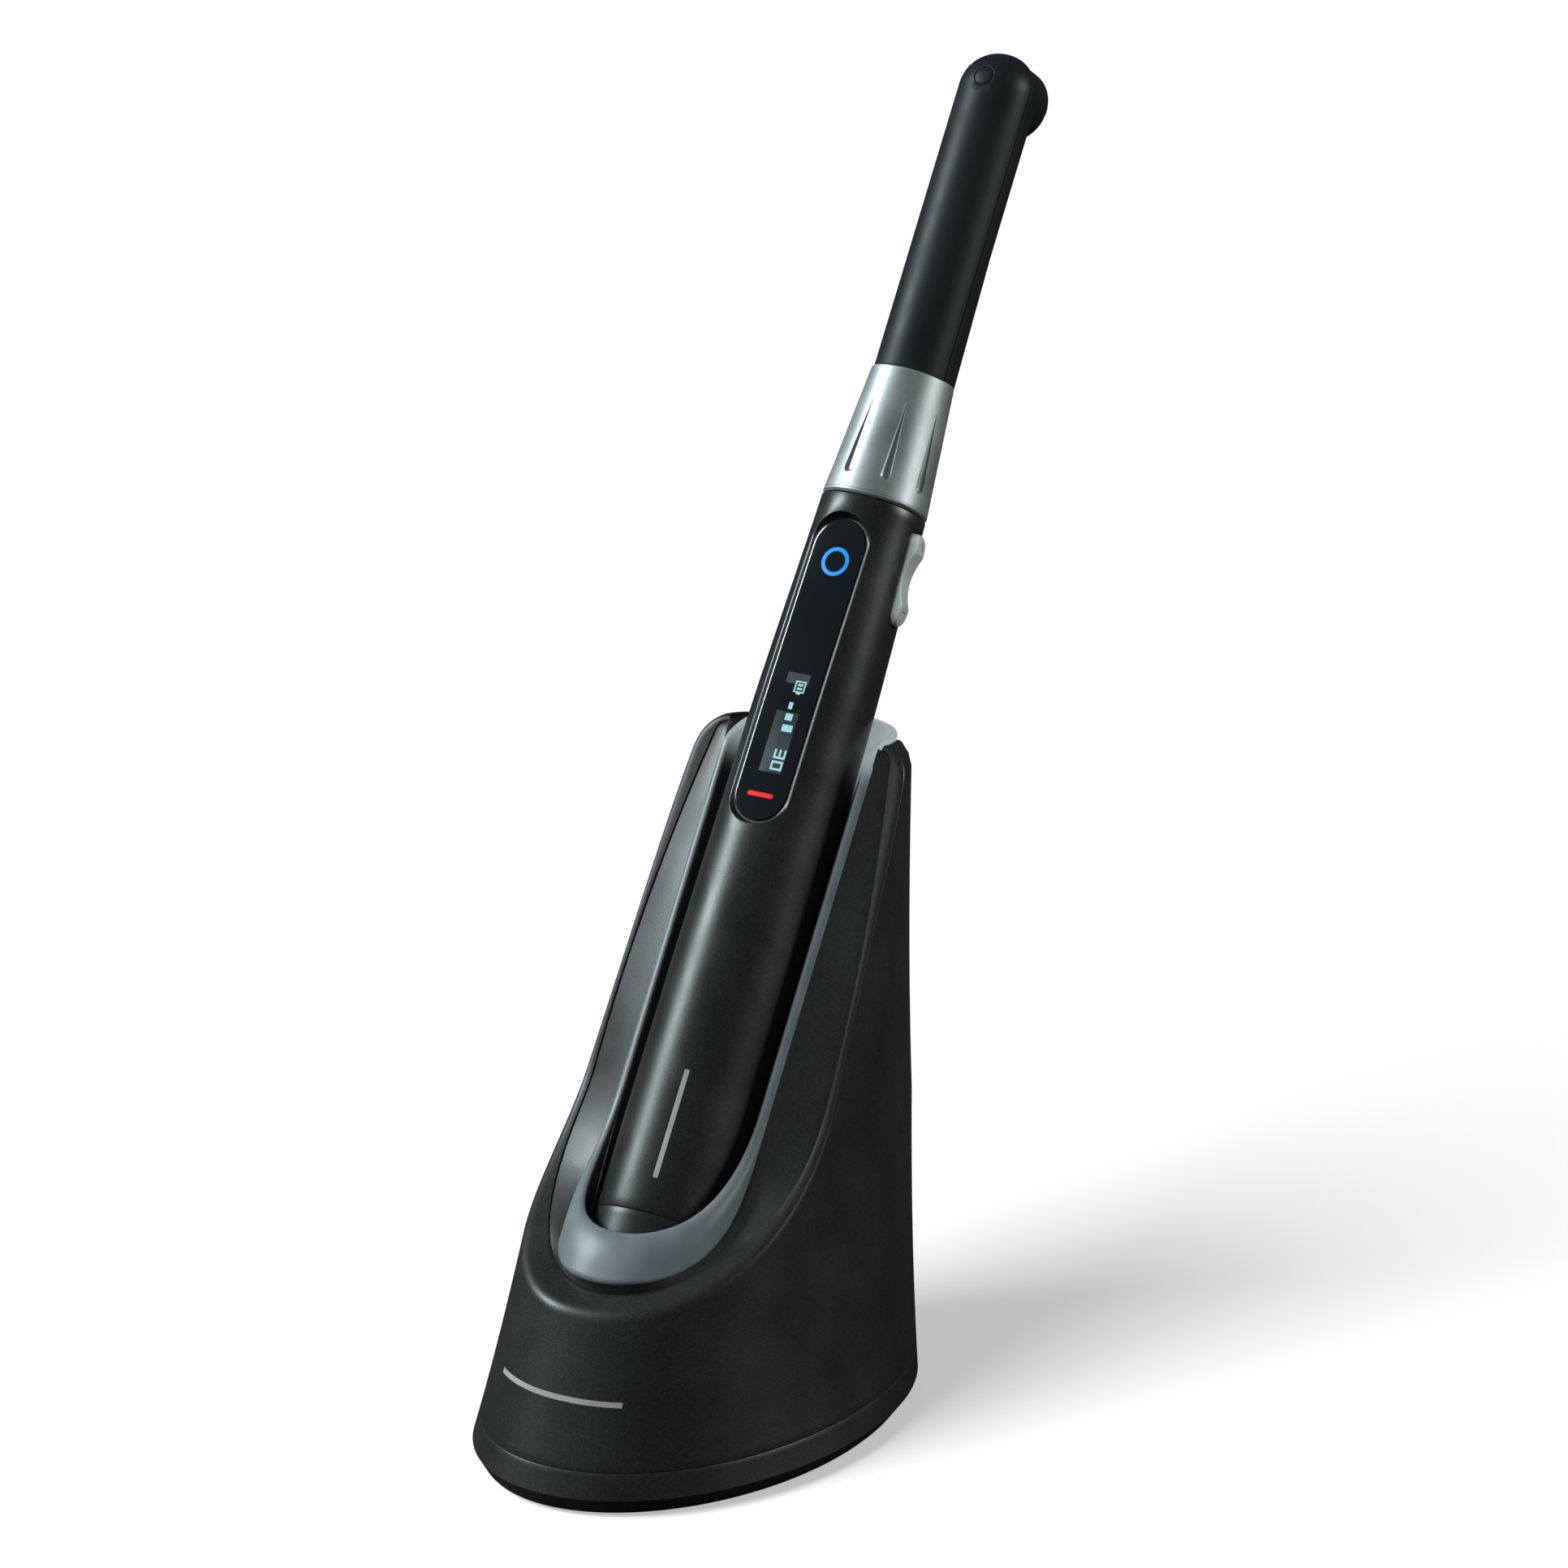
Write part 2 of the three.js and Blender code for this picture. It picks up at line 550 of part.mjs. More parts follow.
function buildRocker() {
  const surface = handleRadius(ROCKER_Z);
  const half = ROCKER_LENGTH / 2;
  const underside = surface - 2.2;
  const side = new THREE.Shape()
    .moveTo(underside, -half)
    .lineTo(surface + 0.9, -half)
    .quadraticCurveTo(surface + 1.7, -half + 1, surface + 1.6, -half + 3)
    .quadraticCurveTo(surface - 0.4, 0, surface + 1.2, half - 3)
    .quadraticCurveTo(surface + 1.3, half - 1, surface + 0.5, half)
    .lineTo(underside, half)
    .closePath();
  const slab = new THREE.ExtrudeGeometry(side, { depth: ROCKER_W, bevelEnabled: false, curveSegments: 8 });
  const bar = solid(slab.rotateX(Math.PI / 2).translate(0, ROCKER_W / 2, ROCKER_Z));
  const rounded = bar.intersect(slotPrism(ROCKER_W, ROCKER_LENGTH, 5, 16));
  const hub = box(ROCKER_PIN_X - 1.5, surface - 1.6, -1.4, 1.4, ROCKER_Z - 1.6, ROCKER_Z + 1.6);
  const nub = (z) => box(SWITCH_TOP + SWITCH_REST, surface - 1.8, -1, 1, z - 1, z + 1);
  const pinHoleR = ROCKER_PIN_R + 0.05;
  const pinAlongY = (radius, halfLength) =>
    alongY(disc(radius, -halfLength, halfLength)).translate([ROCKER_PIN_X, 0, ROCKER_Z]);
  const rocker = rounded
    .add(hub)
    .add(nub(ROCKER_Z - SWITCH_Z))
    .add(nub(ROCKER_Z + SWITCH_Z))
    .subtract(pinAlongY(pinHoleR, 9));
  add(wand, "rocker_button", rockerFrame(rocker), "grey");
  add(wand, "rocker_pin", rockerFrame(pinAlongY(ROCKER_PIN_R, 3.3)), "steel");

  const base = SWITCH_TOP - 2.2;
  const earTop = ROCKER_PIN_X + 1.3;
  const ear = (y) => box(base - 0.2, earTop, y - 0.5, y + 0.5, ROCKER_Z - 1.6, ROCKER_Z + 1.6);
  const bracket = box(base - 1, base, -3.1, 3.1, ROCKER_Z - 9, ROCKER_Z + 9)
    .add(ear(-2.6))
    .add(ear(2.6))
    .subtract(pinAlongY(pinHoleR, 9));
  add(wand, "rocker_bracket", rockerFrame(bracket), "satinBlack");
  for (const [name, side] of [["tact_switch_down", -1], ["tact_switch_up", 1]]) {
    const z = ROCKER_Z + side * SWITCH_Z;
    const body = box(base + SEAM, SWITCH_TOP - 0.7, -1.9, 1.9, z - 1.9, z + 1.9);
    const plunger = box(SWITCH_TOP - 1, SWITCH_TOP, -0.8, 0.8, z - 0.8, z + 0.8);
    add(wand, name, rockerFrame(body.add(plunger)), "steel");
  }
}

// ---- electronics inside the handle ----
function buildInside() {
  const bevel = 0.4;
  const nubTop = CELL_TOP + 1;
  const cell = turned([
    [0, CELL_LOW], [CELL_R - bevel, CELL_LOW], [CELL_R, CELL_LOW + bevel],
    [CELL_R, CELL_TOP - bevel], [CELL_R - bevel, CELL_TOP],
    [BATTERY_NUB_R, CELL_TOP], [BATTERY_NUB_R, nubTop], [0, nubTop],
  ]);
  add(wand, "battery_cell", cell, "cell");
  add(wand, "battery_spring", batterySpring(), "steel");
  add(wand, "main_board", box(-5.5, 2.6, 2.6, 3.8, MAIN_BOARD_LOW, MAIN_BOARD_TOP), "board");
  add(wand, "oled_module", box(-3.6, 4.2, -8.8, -7.3, OLED_Z - 12, OLED_Z + 12), "glossBlack");
  const guide = alongY(ring(RING_R - 0.9, RING_R, 0, 1.2)).translate([0.3, -8.5, RING_Z]);
  add(wand, "ring_light_guide", guide, "blueLight");
  add(wand, "touch_sensor", alongY(disc(4.2, 0, 0.6)).translate([0.3, -7.1, RING_Z]), "board");
  add(wand, "status_bar_guide", box(-2.9, 2.9, -9.7, -8.3, BAR_Z - 0.4, BAR_Z + 0.4), "redLight");
}

// A conical spring of round wire between the end cap and the cell.
function batterySpring() {
  const [wide, narrow] = [5.6, 3.2];
  const [low, high] = [4.2, CELL_LOW - 1];
  const coils = 2.5;
  const wireR = 0.4;
  class Helix extends THREE.Curve {
    getPoint(t, target = new THREE.Vector3()) {
      const turn = 2 * Math.PI * coils * t;
      const radius = wide + (narrow - wide) * t;
      const z = low + (high - low) * t;
      return target.set(radius * Math.cos(turn), radius * Math.sin(turn), z);
    }
  }
  const wire = new THREE.Shape().absarc(0, 0, wireR, 0, 2 * Math.PI);
  return solid(new THREE.ExtrudeGeometry(wire, {
    steps: 26, extrudePath: new Helix(), bevelEnabled: false, curveSegments: 3,
  }));
}

// ---- collar, neck and head, which turn together on the handle ----
function buildCollar() {
  const bevel = 0.5;
  const wideBore = 7.5;
  const narrowBore = 6.6;
  let collar = turned([
    [wideBore, COLLAR_BOTTOM], [COLLAR_BOTTOM_R - bevel, COLLAR_BOTTOM],
    [COLLAR_BOTTOM_R, COLLAR_BOTTOM + bevel], [COLLAR_TOP_R, COLLAR_TOP], [narrowBore, COLLAR_TOP],
    [narrowBore, COLLAR_TOP - 6], [wideBore, COLLAR_TOP - 8], [wideBore, COLLAR_BOTTOM],
  ]);
  const flute = turned([[0, -1.1], [0.8, -0.8], [1.15, 0], [0.35, 15], [0, 15.2]], TINY);
  const taper = Math.atan2(COLLAR_BOTTOM_R - COLLAR_TOP_R, COLLAR_TOP - COLLAR_BOTTOM);
  const tilt = THREE.MathUtils.radToDeg(taper);
  for (let i = 0; i < FLUTES; i++) {
    const cut = flute.rotate([0, -tilt, 0]).translate([COLLAR_BOTTOM_R - 0.05, 0, COLLAR_BOTTOM + 5]);
    collar = collar.subtract(cut.rotate([0, 0, FIRST_FLUTE + (360 * i) / FLUTES]));
  }
  add(wand, "grip_collar", collar, "collar");

  const spigotTop = COLLAR_TOP + 7;
  const spigot = turned([
    [SPIGOT_IN, SPIGOT_LOW], [SPIGOT_OUT, SPIGOT_LOW], [SPIGOT_OUT, SEAL_Z - 1],
    [SPIGOT_OUT - 1, SEAL_Z - 1], [SPIGOT_OUT - 1, SEAL_Z + 1], [SPIGOT_OUT, SEAL_Z + 1],
    [SPIGOT_OUT, spigotTop], [SPIGOT_IN, spigotTop], [SPIGOT_IN, SPIGOT_LOW],
  ]);
  add(wand, "neck_spigot", spigot, "steel");
  const sealRing = new THREE.TorusGeometry(SPIGOT_OUT - 0.35, SEAL_R, TINY, ROUND);
  add(wand, "seal_ring", solid(sealRing.translate(0, 0, SEAL_Z)), "rubber");
  const low = COLLAR_BOTTOM - 3;
  const step = COLLAR_BOTTOM - 0.8;
  const high = COLLAR_TOP - 11;
  const socket = turned([
    [SOCKET_IN, low], [SOCKET_IN + 1.6, low], [SOCKET_IN + 1.6, step], [SOCKET_IN + 0.6, step],
    [SOCKET_IN + 0.6, high], [SOCKET_IN, high], [SOCKET_IN, low],
  ]);
  add(wand, "turn_socket", socket, "brass");
}

// The neck's outside or, inset, its inside: a round front and a flatter back.
function neckBody(inset, z0) {
  const ringAt = (z) => {
    const heel = Math.max(0, 1 - (z - COLLAR_TOP) / HEEL_LENGTH);
    const back = NECK_BACK + (NECK_HEEL - NECK_BACK) * heel - inset;
    return steps(0, 2 * Math.PI, ROUND).slice(0, ROUND).map((t) => {
      const depth = Math.sin(t) > 0 ? back : NECK_R - inset;
      return [(NECK_R - inset) * Math.cos(t), depth * Math.sin(t), z];
    });
  };
  const tip = solid(new THREE.SphereGeometry(NECK_R - inset, ROUND, 12).rotateX(Math.PI / 2))
    .intersect(box(-20, 20, -20, 0.001, -20, 20))
    .translate([0, 0, HEAD_Z]);
  const barrel = alongY(disc(BARREL_R - inset, -0.5, BARREL_FACE - inset, ROUND)).translate([0, 0, HEAD_Z]);
  return loft([z0, COLLAR_TOP + HEEL_LENGTH, HEAD_Z].map(ringAt)).add(tip).add(barrel);
}

function buildNeck() {
  const bottom = COLLAR_TOP + SEAM;
  const outside = neckBody(0, bottom);
  const hollow = neckBody(NECK_WALL, bottom - 1);
  const skin = outside.subtract(hollow);
  const between = (y0, y1) => box(-FAR, FAR, y0, y1, COLLAR_TOP - 10, COLLAR_TOP + FAR);
  const front = skin.intersect(between(-FAR, SEAM_Y - SEAM / 2));
  const back = skin.intersect(between(SEAM_Y + SEAM / 2, FAR));
  const mark = (radius) => alongY(disc(radius, -12, -4)).translate([0, 0, HEAD_Z + MARK_RISE]);
  const lensAt = (made) => alongY(made).translate([0, 0, HEAD_Z]);
  add(wand, "neck_front_shell", front.subtract(mark(MARK_R + SEAM)), "satinBlack");
  const window = lensAt(disc(LENS_R + GAP, 0, 12, ROUND));
  const seat = lensAt(disc(LENS_R + 1.5, BARREL_FACE - 0.8, 12, ROUND));
  add(wand, "neck_back_shell", back.subtract(window).subtract(seat), "satinBlack");
  add(wand, "head_indicator", skin.intersect(mark(MARK_R - SEAM)), "satinBlack");
  const bezel = ring(LENS_R - 0.3, LENS_R + 1.3, BARREL_FACE - BEZEL_T, BARREL_FACE);
  add(wand, "lens_ring", lensAt(bezel), "steel");
  const rim = BARREL_FACE - 0.8;
  const low = rim - LENS_T;
  const lens = turned([
    [0, low], [LENS_R, low], [LENS_R, rim - 1.2], [LENS_R - 0.8, rim - 0.5],
    [LENS_R / 2 - 0.1, rim + 0.1], [0, rim + 0.3],
  ]);
  add(wand, "lens", lensAt(lens), "lens");
  add(wand, "led_board", lensAt(disc(5.2, 0.6, 1.8)), "board");
  add(wand, "led_emitter", box(-2, 2, 2, 3.2, HEAD_Z - 2, HEAD_Z + 2), "brass");
  const sink = box(-4.6, 4.6, -3.2, 0.3, 192, HEAD_Z + 3.5);
  add(wand, "heat_sink", sink, "collar");
}

buildDock();
buildHandle();
buildRocker();
buildInside();
buildCollar();
buildNeck();

export default root;
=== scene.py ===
"""Looks of a cordless curing light leaning in its charging dock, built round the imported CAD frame.
Shapes are worked out in millimetres, most of them in the wand's own frame: x across, y behind and
s along the wand."""
import json
from math import acos, asin, copysign, cos, exp, hypot, pi, radians, sin, sqrt

import bmesh
import bpy
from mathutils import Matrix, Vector
from mathutils.geometry import delaunay_2d_cdt


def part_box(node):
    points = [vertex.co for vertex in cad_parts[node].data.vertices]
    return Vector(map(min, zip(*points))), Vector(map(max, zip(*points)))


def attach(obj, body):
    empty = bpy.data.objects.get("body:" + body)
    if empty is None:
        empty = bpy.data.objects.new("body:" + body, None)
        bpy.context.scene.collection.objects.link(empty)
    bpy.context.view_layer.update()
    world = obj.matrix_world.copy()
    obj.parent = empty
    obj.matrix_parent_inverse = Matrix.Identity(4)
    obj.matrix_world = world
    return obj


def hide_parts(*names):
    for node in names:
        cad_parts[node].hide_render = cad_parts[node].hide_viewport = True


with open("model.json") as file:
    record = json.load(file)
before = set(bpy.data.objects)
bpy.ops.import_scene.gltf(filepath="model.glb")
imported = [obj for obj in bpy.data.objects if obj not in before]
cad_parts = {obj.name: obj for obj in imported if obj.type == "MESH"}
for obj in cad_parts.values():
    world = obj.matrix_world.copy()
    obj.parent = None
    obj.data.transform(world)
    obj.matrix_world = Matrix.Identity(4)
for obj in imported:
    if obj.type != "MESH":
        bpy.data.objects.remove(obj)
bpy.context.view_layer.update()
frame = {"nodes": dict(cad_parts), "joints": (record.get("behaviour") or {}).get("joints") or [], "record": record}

MM = 0.001

# ---- the wand's frame, from the neck's joint and the end cap ----
JOINTS = {joint["name"]: joint for joint in frame["joints"]}
AXIS = Vector(JOINTS["neck_turn"]["axis"]).normalized()
ACROSS = Vector((1, 0, 0))
BEHIND = AXIS.cross(ACROSS)
PIVOT = Vector(JOINTS["neck_turn"]["pos_m"])


def heights(node, start=PIVOT):
    """Lowest and highest place of a CAD node along the wand, in millimetres."""
    found = [(v.co - start).dot(AXIS) / MM for v in frame["nodes"][node].data.vertices]
    return min(found), max(found)


FOOT = PIVOT + AXIS * heights("end_cap")[0] * MM


def span(node):
    return heights(node, FOOT)


def wand(x, y, s):
    """A point of the wand's frame, in metres in the row frame."""
    return FOOT + (ACROSS * x + BEHIND * y + AXIS * s) * MM


def to_wand(point):
    """A point of the row frame in millimetres, as x, y, s of the wand's frame."""
    offset = Vector(point) - FOOT / MM
    return offset.x, offset.dot(BEHIND), offset.dot(AXIS)


# ---- driving dimensions, in millimetres ----
SEAM = 0.1  # parting gap between two shells
HANDLE_PROFILE = ((0, 12.4), (10, 12.6), (60, 12.5), (114, 11.9), (156, 10.5))  # height, radius
HANDLE_LOW, HANDLE_HIGH = span("handle_shell")
HANDLE_WALL = 1.3  # depth to which the handle's edges fold in
WINDOW_LOW, WINDOW_HIGH = span("display_window")
WINDOW_MIDDLE = (WINDOW_LOW + WINDOW_HIGH) / 2
WINDOW_HALF_LENGTH = (WINDOW_HIGH - WINDOW_LOW) / 2
WINDOW_HALF_WIDTH = 5.7
WINDOW_SINK = 0.35  # the window's long edges below the handle's surface
WINDOW_DOME = 0.18  # rise of its middle
ROCKER_LOW, ROCKER_HIGH = span("rocker_button")
ROCKER_MIDDLE = (ROCKER_LOW + ROCKER_HIGH) / 2
ROCKER_HALF_LENGTH = (ROCKER_HIGH - ROCKER_LOW) / 2
ROCKER_HALF_WIDTH = 2.35
ROCKER_TURN = radians(96)  # from the display round to the rocker
ROCKER_GAP = 0.35  # slot round the rocker
COLLAR_LOW, COLLAR_HIGH = span("grip_collar")
COLLAR_LOW_R = 10.65
COLLAR_HIGH_R = 8.4
FLUTES = 8
NECK_LOW = span("neck_front_shell")[0]
HEAD = sum(span("lens_ring")) / 2  # middle of the head
NECK_R = 8.03
NECK_BACK = 7  # the flatter back's distance from the axis
NECK_HEEL = 9.4  # the same distance at the collar
HEEL_LENGTH = 28
NECK_WALL = 1.0
SEAM_Y = -1.7  # plane where the front and back shells meet
BARREL_R = 7.6
BARREL_FACE = 7.6  # the barrel's rim behind the axis
MARK_RISE = 1.3  # head disc above the head's middle
MARK_R = 2

SKIRT_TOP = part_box("dock_shell")[0].z / MM
DOCK_TOP = 131
DOCK_ROUND = 6  # rounding of the top edge
DOCK_MIDDLE = 20  # place behind the row frame's origin that the top closes towards
FACE_SINK = 0.35  # the face panel below the rim's edge
FACE_TOP = 106
CRADLE_Y = -1  # the sleeve's axis in front of the wand's
LINER_IN = 14.4
LINER_OUT = 17.2
LINER_TOP = span("cradle_liner")[1]
LINER_FLOOR = -0.4

FLAT_R = 12  # nominal radius that unrolls angles round the wand
FAR = 99.0  # stands for any distance too far to matter
FINE = 0.06  # first step of a broken edge
QUARTER_TURN = pi / 2


# ---- small helpers ----
def steps(low, high, count):
    return [low + (high - low) * i / count for i in range(count + 1)]


def smooth(value):
    value = min(1.0, max(0.0, value))
    return value * value * (3 - 2 * value)


def profile_at(profile, place):
    """Straight-line value of a (place, value) list, held beyond its ends."""
    if place <= profile[0][0]:
        return profile[0][1]
    for (a, u), (b, v) in zip(profile, profile[1:]):
        if place <= b:
            return u + (v - u) * (place - a) / (b - a)
    return profile[-1][1]


def handle_radius(s):
    """The handle's radius, with its profile's corners eased over a few millimetres."""
    ease = 6
    samples = steps(-ease, ease, 6)
    return sum(profile_at(HANDLE_PROFILE, s + step) for step in samples) / len(samples)


def stadium(half_width, half_length, grow, arc=20, step=2.5):
    """Points round a stadium's outline, grown by a distance, as (across, along) pairs."""
    straight = half_length - half_width
    radius = half_width + grow
    count = max(1, round(2 * straight / step))
    side = steps(-straight, straight, count)
    right = [(radius, v) for v in side[:-1]]
    left = [(-radius, -v) for v in side[:-1]]
    turn = [pi * i / arc for i in range(arc)]
    top = [(radius * cos(t), straight + radius * sin(t)) for t in turn]
    low = [(-radius * cos(t), -straight - radius * sin(t)) for t in turn]
    return right + top + left + low


def stadium_distance(x, v, half_width, half_length):
    beyond = max(0.0, abs(v) - (half_length - half_width))
    return hypot(x, beyond) - half_width


def turns_round(count):
    return [2 * pi * i / count for i in range(count)]


# ---- mesh helpers ----
JOIN_DISTANCE = 0.003 * MM  # corners this close are one corner
SLIVER = 0.0005 * MM  # edges this short are dropped


def grid(bm, rows, closed=False):
    """Joins rows of points into quads."""
    made = [[bm.verts.new(point) for point in row] for row in rows]
    for low, high in zip(made, made[1:]):
        count = len(low)
        for i in range(count if closed else count - 1):
            j = (i + 1) % count
            bm.faces.new((low[i], low[j], high[j], high[i]))
    return made


def turned(bm, profile, place=wand, sides=96, y=0.0):
    """Turns (radius, height) points about the wand's axis."""
    ring = lambda r, s: [place(r * sin(t), y - r * cos(t), s) for t in turns_round(sides)]
    grid(bm, [ring(r, s) for r, s in profile], closed=True)


def sheet(bm, loops, points, keep, place):
    """Triangulates loops and loose points in a flat layout, keeps the faces whose middle passes a test,
    and places the corners in space."""
    flat = []
    edges = []
    for loop in loops:
        first = len(flat)
        flat += loop
        edges += [(first + i, first + (i + 1) % len(loop)) for i in range(len(loop))]
    flat += points
    corners, _, faces, *_ = delaunay_2d_cdt([Vector(p) for p in flat], edges, [], 0, 1e-5)
    used = {}
    for face in faces:
        middle = sum((corners[i] for i in face), Vector((0, 0))) / len(face)
        if not keep(middle.x, middle.y):
            continue
        for i in face:
            if i not in used:
                used[i] = bm.verts.new(place(corners[i].x, corners[i].y))
        bm.faces.new([used[i] for i in face])


def fold(bm, edges, move):
    """Extrudes open edges and moves the new corners."""
    for item in bmesh.ops.extrude_edge_only(bm, edges=edges)["geom"]:
        if isinstance(item, bmesh.types.BMVert):
            item.co += move(item.co)


def open_edges(bm):
    return [edge for edge in bm.edges if len(edge.link_faces) == 1]


def turn_in(bm, move):
    """Folds every open edge inwards, to give a sheet the look of a wall's thickness."""
    bmesh.ops.remove_doubles(bm, verts=bm.verts, dist=JOIN_DISTANCE)
    fold(bm, open_edges(bm), move)


def to_axis(depth, y=0.0):
    """A move towards the wand's axis, as a function of a point."""
    def move(co):
        x, depth_y, _ = to_wand(co / MM)
        inwards = ACROSS * -x + BEHIND * (y - depth_y)
        return inwards.normalized() * depth * MM
    return move


def in_scene(name, data):
    made = bpy.data.objects.new(name, data)
    bpy.context.scene.collection.objects.link(made)
    return made


def piece(name, bm, body, slot, nodes=(), finish=None, crease=35):
    """Makes an object of a mesh, riding on a body and standing for CAD nodes. Its look is its slot's,
    unless it has a finish of its own."""
    bmesh.ops.remove_doubles(bm, verts=bm.verts, dist=JOIN_DISTANCE)
    bmesh.ops.dissolve_degenerate(bm, edges=bm.edges, dist=SLIVER)
    bmesh.ops.recalc_face_normals(bm, faces=bm.faces)
    mesh = bpy.data.meshes.new(name)
    bm.to_mesh(mesh)
    bm.free()
    mesh.materials.append(finish or LOOKS[slot])
    mesh.polygons.foreach_set("use_smooth", [True] * len(mesh.polygons))
    mesh.set_sharp_from_angle(angle=radians(crease))
    made = in_scene(name, mesh)
    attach(made, body)
    if nodes:
        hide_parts(*nodes)


# ---- materials ----
def add_node(owner, kind, inputs=None, **settings):
    """Adds a node to a material or world, with values or links for its inputs."""
    made = owner.node_tree.nodes.new(kind)
    for key, value in settings.items():
        setattr(made, key, value)
    for key, value in (inputs or {}).items():
        if isinstance(value, bpy.types.NodeSocket):
            owner.node_tree.links.new(value, made.inputs[key])
        else:
            made.inputs[key].default_value = value
    return made


def shader_of(material):
    return material.node_tree.nodes["Principled BSDF"]


def rgb(color):
    return (*color, 1.0)


NOISE_LOW, NOISE_HIGH = 0.3, 0.7  # range that noise mostly lies in
EDGE_LOW, EDGE_HIGH = 0.52, 0.62  # pointiness at which an edge starts to turn paler, and is fully so: partly wear, partly a painted highlight along edges


def surface(name, dark, light, roughness, metallic=0.0, blotch=9.0, grain=0.3, depth=0.02, wear_and_sheen=0.0,
            speckle=0.0, spread=0.06, extra=None):
    """A procedural surface. Colours run from dark to light in blotches of a size, with grain of a size
    and depth in the bump, paler edges that are partly wear and partly a painted highlight, and speckle from cell
    to cell. Lengths are in millimetres."""
    material = bpy.data.materials.new(name)
    material.use_nodes = True
    links = material.node_tree.links
    shader = shader_of(material)
    places = add_node(material, "ShaderNodeTexCoord").outputs["Object"]
    cloud = add_node(material, "ShaderNodeTexNoise", {
        "Vector": places, "Scale": 1 / (blotch * MM), "Detail": 3.0}).outputs["Fac"]
    tint = add_node(material, "ShaderNodeValToRGB", {"Fac": cloud})
    for stop, place, shade in zip(tint.color_ramp.elements, (NOISE_LOW, NOISE_HIGH), (dark, light)):
        stop.position = place
        stop.color = rgb(shade)
    color = tint.outputs["Color"]
    if speckle:
        cells = add_node(material, "ShaderNodeTexVoronoi", {"Vector": places, "Scale": 1 / (grain * MM)})
        lift = add_node(material, "ShaderNodeMapRange", {
            "Value": cells.outputs["Color"], "To Min": 1 - speckle, "To Max": 1 + speckle})
        color = add_node(material, "ShaderNodeVectorMath", {0: color, 1: lift.outputs["Result"]},
                         operation="MULTIPLY").outputs["Vector"]
    # paler convex edges: partly wear, partly a painted highlight where edges catch the light
    if wear_and_sheen:
        edges = add_node(material, "ShaderNodeNewGeometry").outputs["Pointiness"]
        worn_and_sheen = add_node(material, "ShaderNodeMapRange", {
            "Value": edges, "From Min": EDGE_LOW, "From Max": EDGE_HIGH, "To Max": wear_and_sheen})
        paler = rgb([min(1.0, 2.6 * value + 0.03) for value in light])
        color = add_node(material, "ShaderNodeMix", {
            "Factor": worn_and_sheen.outputs["Result"], 6: color, 7: paler}, data_type="RGBA").outputs[2]
    links.new(color, shader.inputs["Base Color"])
    rough = add_node(material, "ShaderNodeMapRange", {
        "Value": cloud, "From Min": NOISE_LOW, "From Max": NOISE_HIGH,
        "To Min": roughness - spread, "To Max": roughness + spread})
    links.new(rough.outputs["Result"], shader.inputs["Roughness"])
    fine = add_node(material, "ShaderNodeTexNoise", {
        "Vector": places, "Scale": 1 / (grain * MM), "Detail": 2.0})
    bump = add_node(material, "ShaderNodeBump", {"Height": fine.outputs["Fac"], "Distance": depth * MM})
    links.new(bump.outputs["Normal"], shader.inputs["Normal"])
    shader.inputs["Metallic"].default_value = metallic
    for key, value in (extra or {}).items():
        shader.inputs[key].default_value = value
    return material


def stored_glow(material):
    return add_node(material, "ShaderNodeAttribute", attribute_name="glow").outputs["Fac"]


def lit(name, color, strength, edge=0.55):
    """A lit shape that is brightest along its middle, by the glow stored at its corners."""
    material = surface(name, color, color, 0.25, grain=0.5, depth=0.002)
    shader = shader_of(material)
    level = add_node(material, "ShaderNodeMapRange", {
        "Value": stored_glow(material), "To Min": strength * edge, "To Max": strength})
    material.node_tree.links.remove(shader.inputs["Base Color"].links[0])
    shader.inputs["Base Color"].default_value = rgb((0.0, 0.0, 0.0))
    shader.inputs["Emission Color"].default_value = rgb(color)
    material.node_tree.links.new(level.outputs["Result"], shader.inputs["Emission Strength"])
    return material


DOCK_DARK = (0.011, 0.0125, 0.0128)
DOCK_LIGHT = (0.014, 0.0158, 0.0158)
DOCK_GRAIN = dict(blotch=14, grain=0.32, depth=0.022, wear_and_sheen=0.12, speckle=0.35)


def dock_plastic():
    return surface("dock_plastic", DOCK_DARK, DOCK_LIGHT, 0.4, **DOCK_GRAIN,
                   extra={"Specular IOR Level": 0.25})


def face_satin():
    """The dock's plastic with more sheen, for its face."""
    return surface("face_satin", DOCK_DARK, DOCK_LIGHT, 0.42, **DOCK_GRAIN,
                   extra={"Specular IOR Level": 0.55})


def silicone():
    """Milky silicone. Its thin ears carry a painted glow, stored at its corners, that stands for daylight shining
    through them.
    """
    material = surface("silicone", (0.115, 0.147, 0.16), (0.15, 0.183, 0.197), 0.42, blotch=7, grain=0.6,
                       depth=0.006, wear_and_sheen=0.1, extra={"Subsurface Weight": 0.55, "Subsurface Scale": 0.004,
                                                     "Transmission Weight": 0.25, "IOR": 1.41})
    shader = shader_of(material)
    # painted glow on the ears, standing for daylight through the thin silicone
    shader.inputs["Emission Color"].default_value = rgb((0.5, 0.57, 0.59))
    material.node_tree.links.new(stored_glow(material), shader.inputs["Emission Strength"])
    return material


def black_plastic():
    return surface("black_plastic", (0.012, 0.012, 0.013), (0.018, 0.018, 0.019), 0.5,
                   grain=0.4, depth=0.01, wear_and_sheen=0.2)


def satin_black():
    """Matt black of the neck and head."""
    return surface("satin_black", (0.006, 0.0084, 0.0092), (0.008, 0.0104, 0.0112), 0.47, blotch=11,
                   grain=0.28, depth=0.01, wear_and_sheen=0.08, speckle=0.12, extra={"Specular IOR Level": 0.16})


def contact_brass():
    return surface("contact_brass", (0.75, 0.5, 0.16), (0.85, 0.6, 0.22), 0.25, metallic=1.0,
                   grain=0.15, depth=0.004)


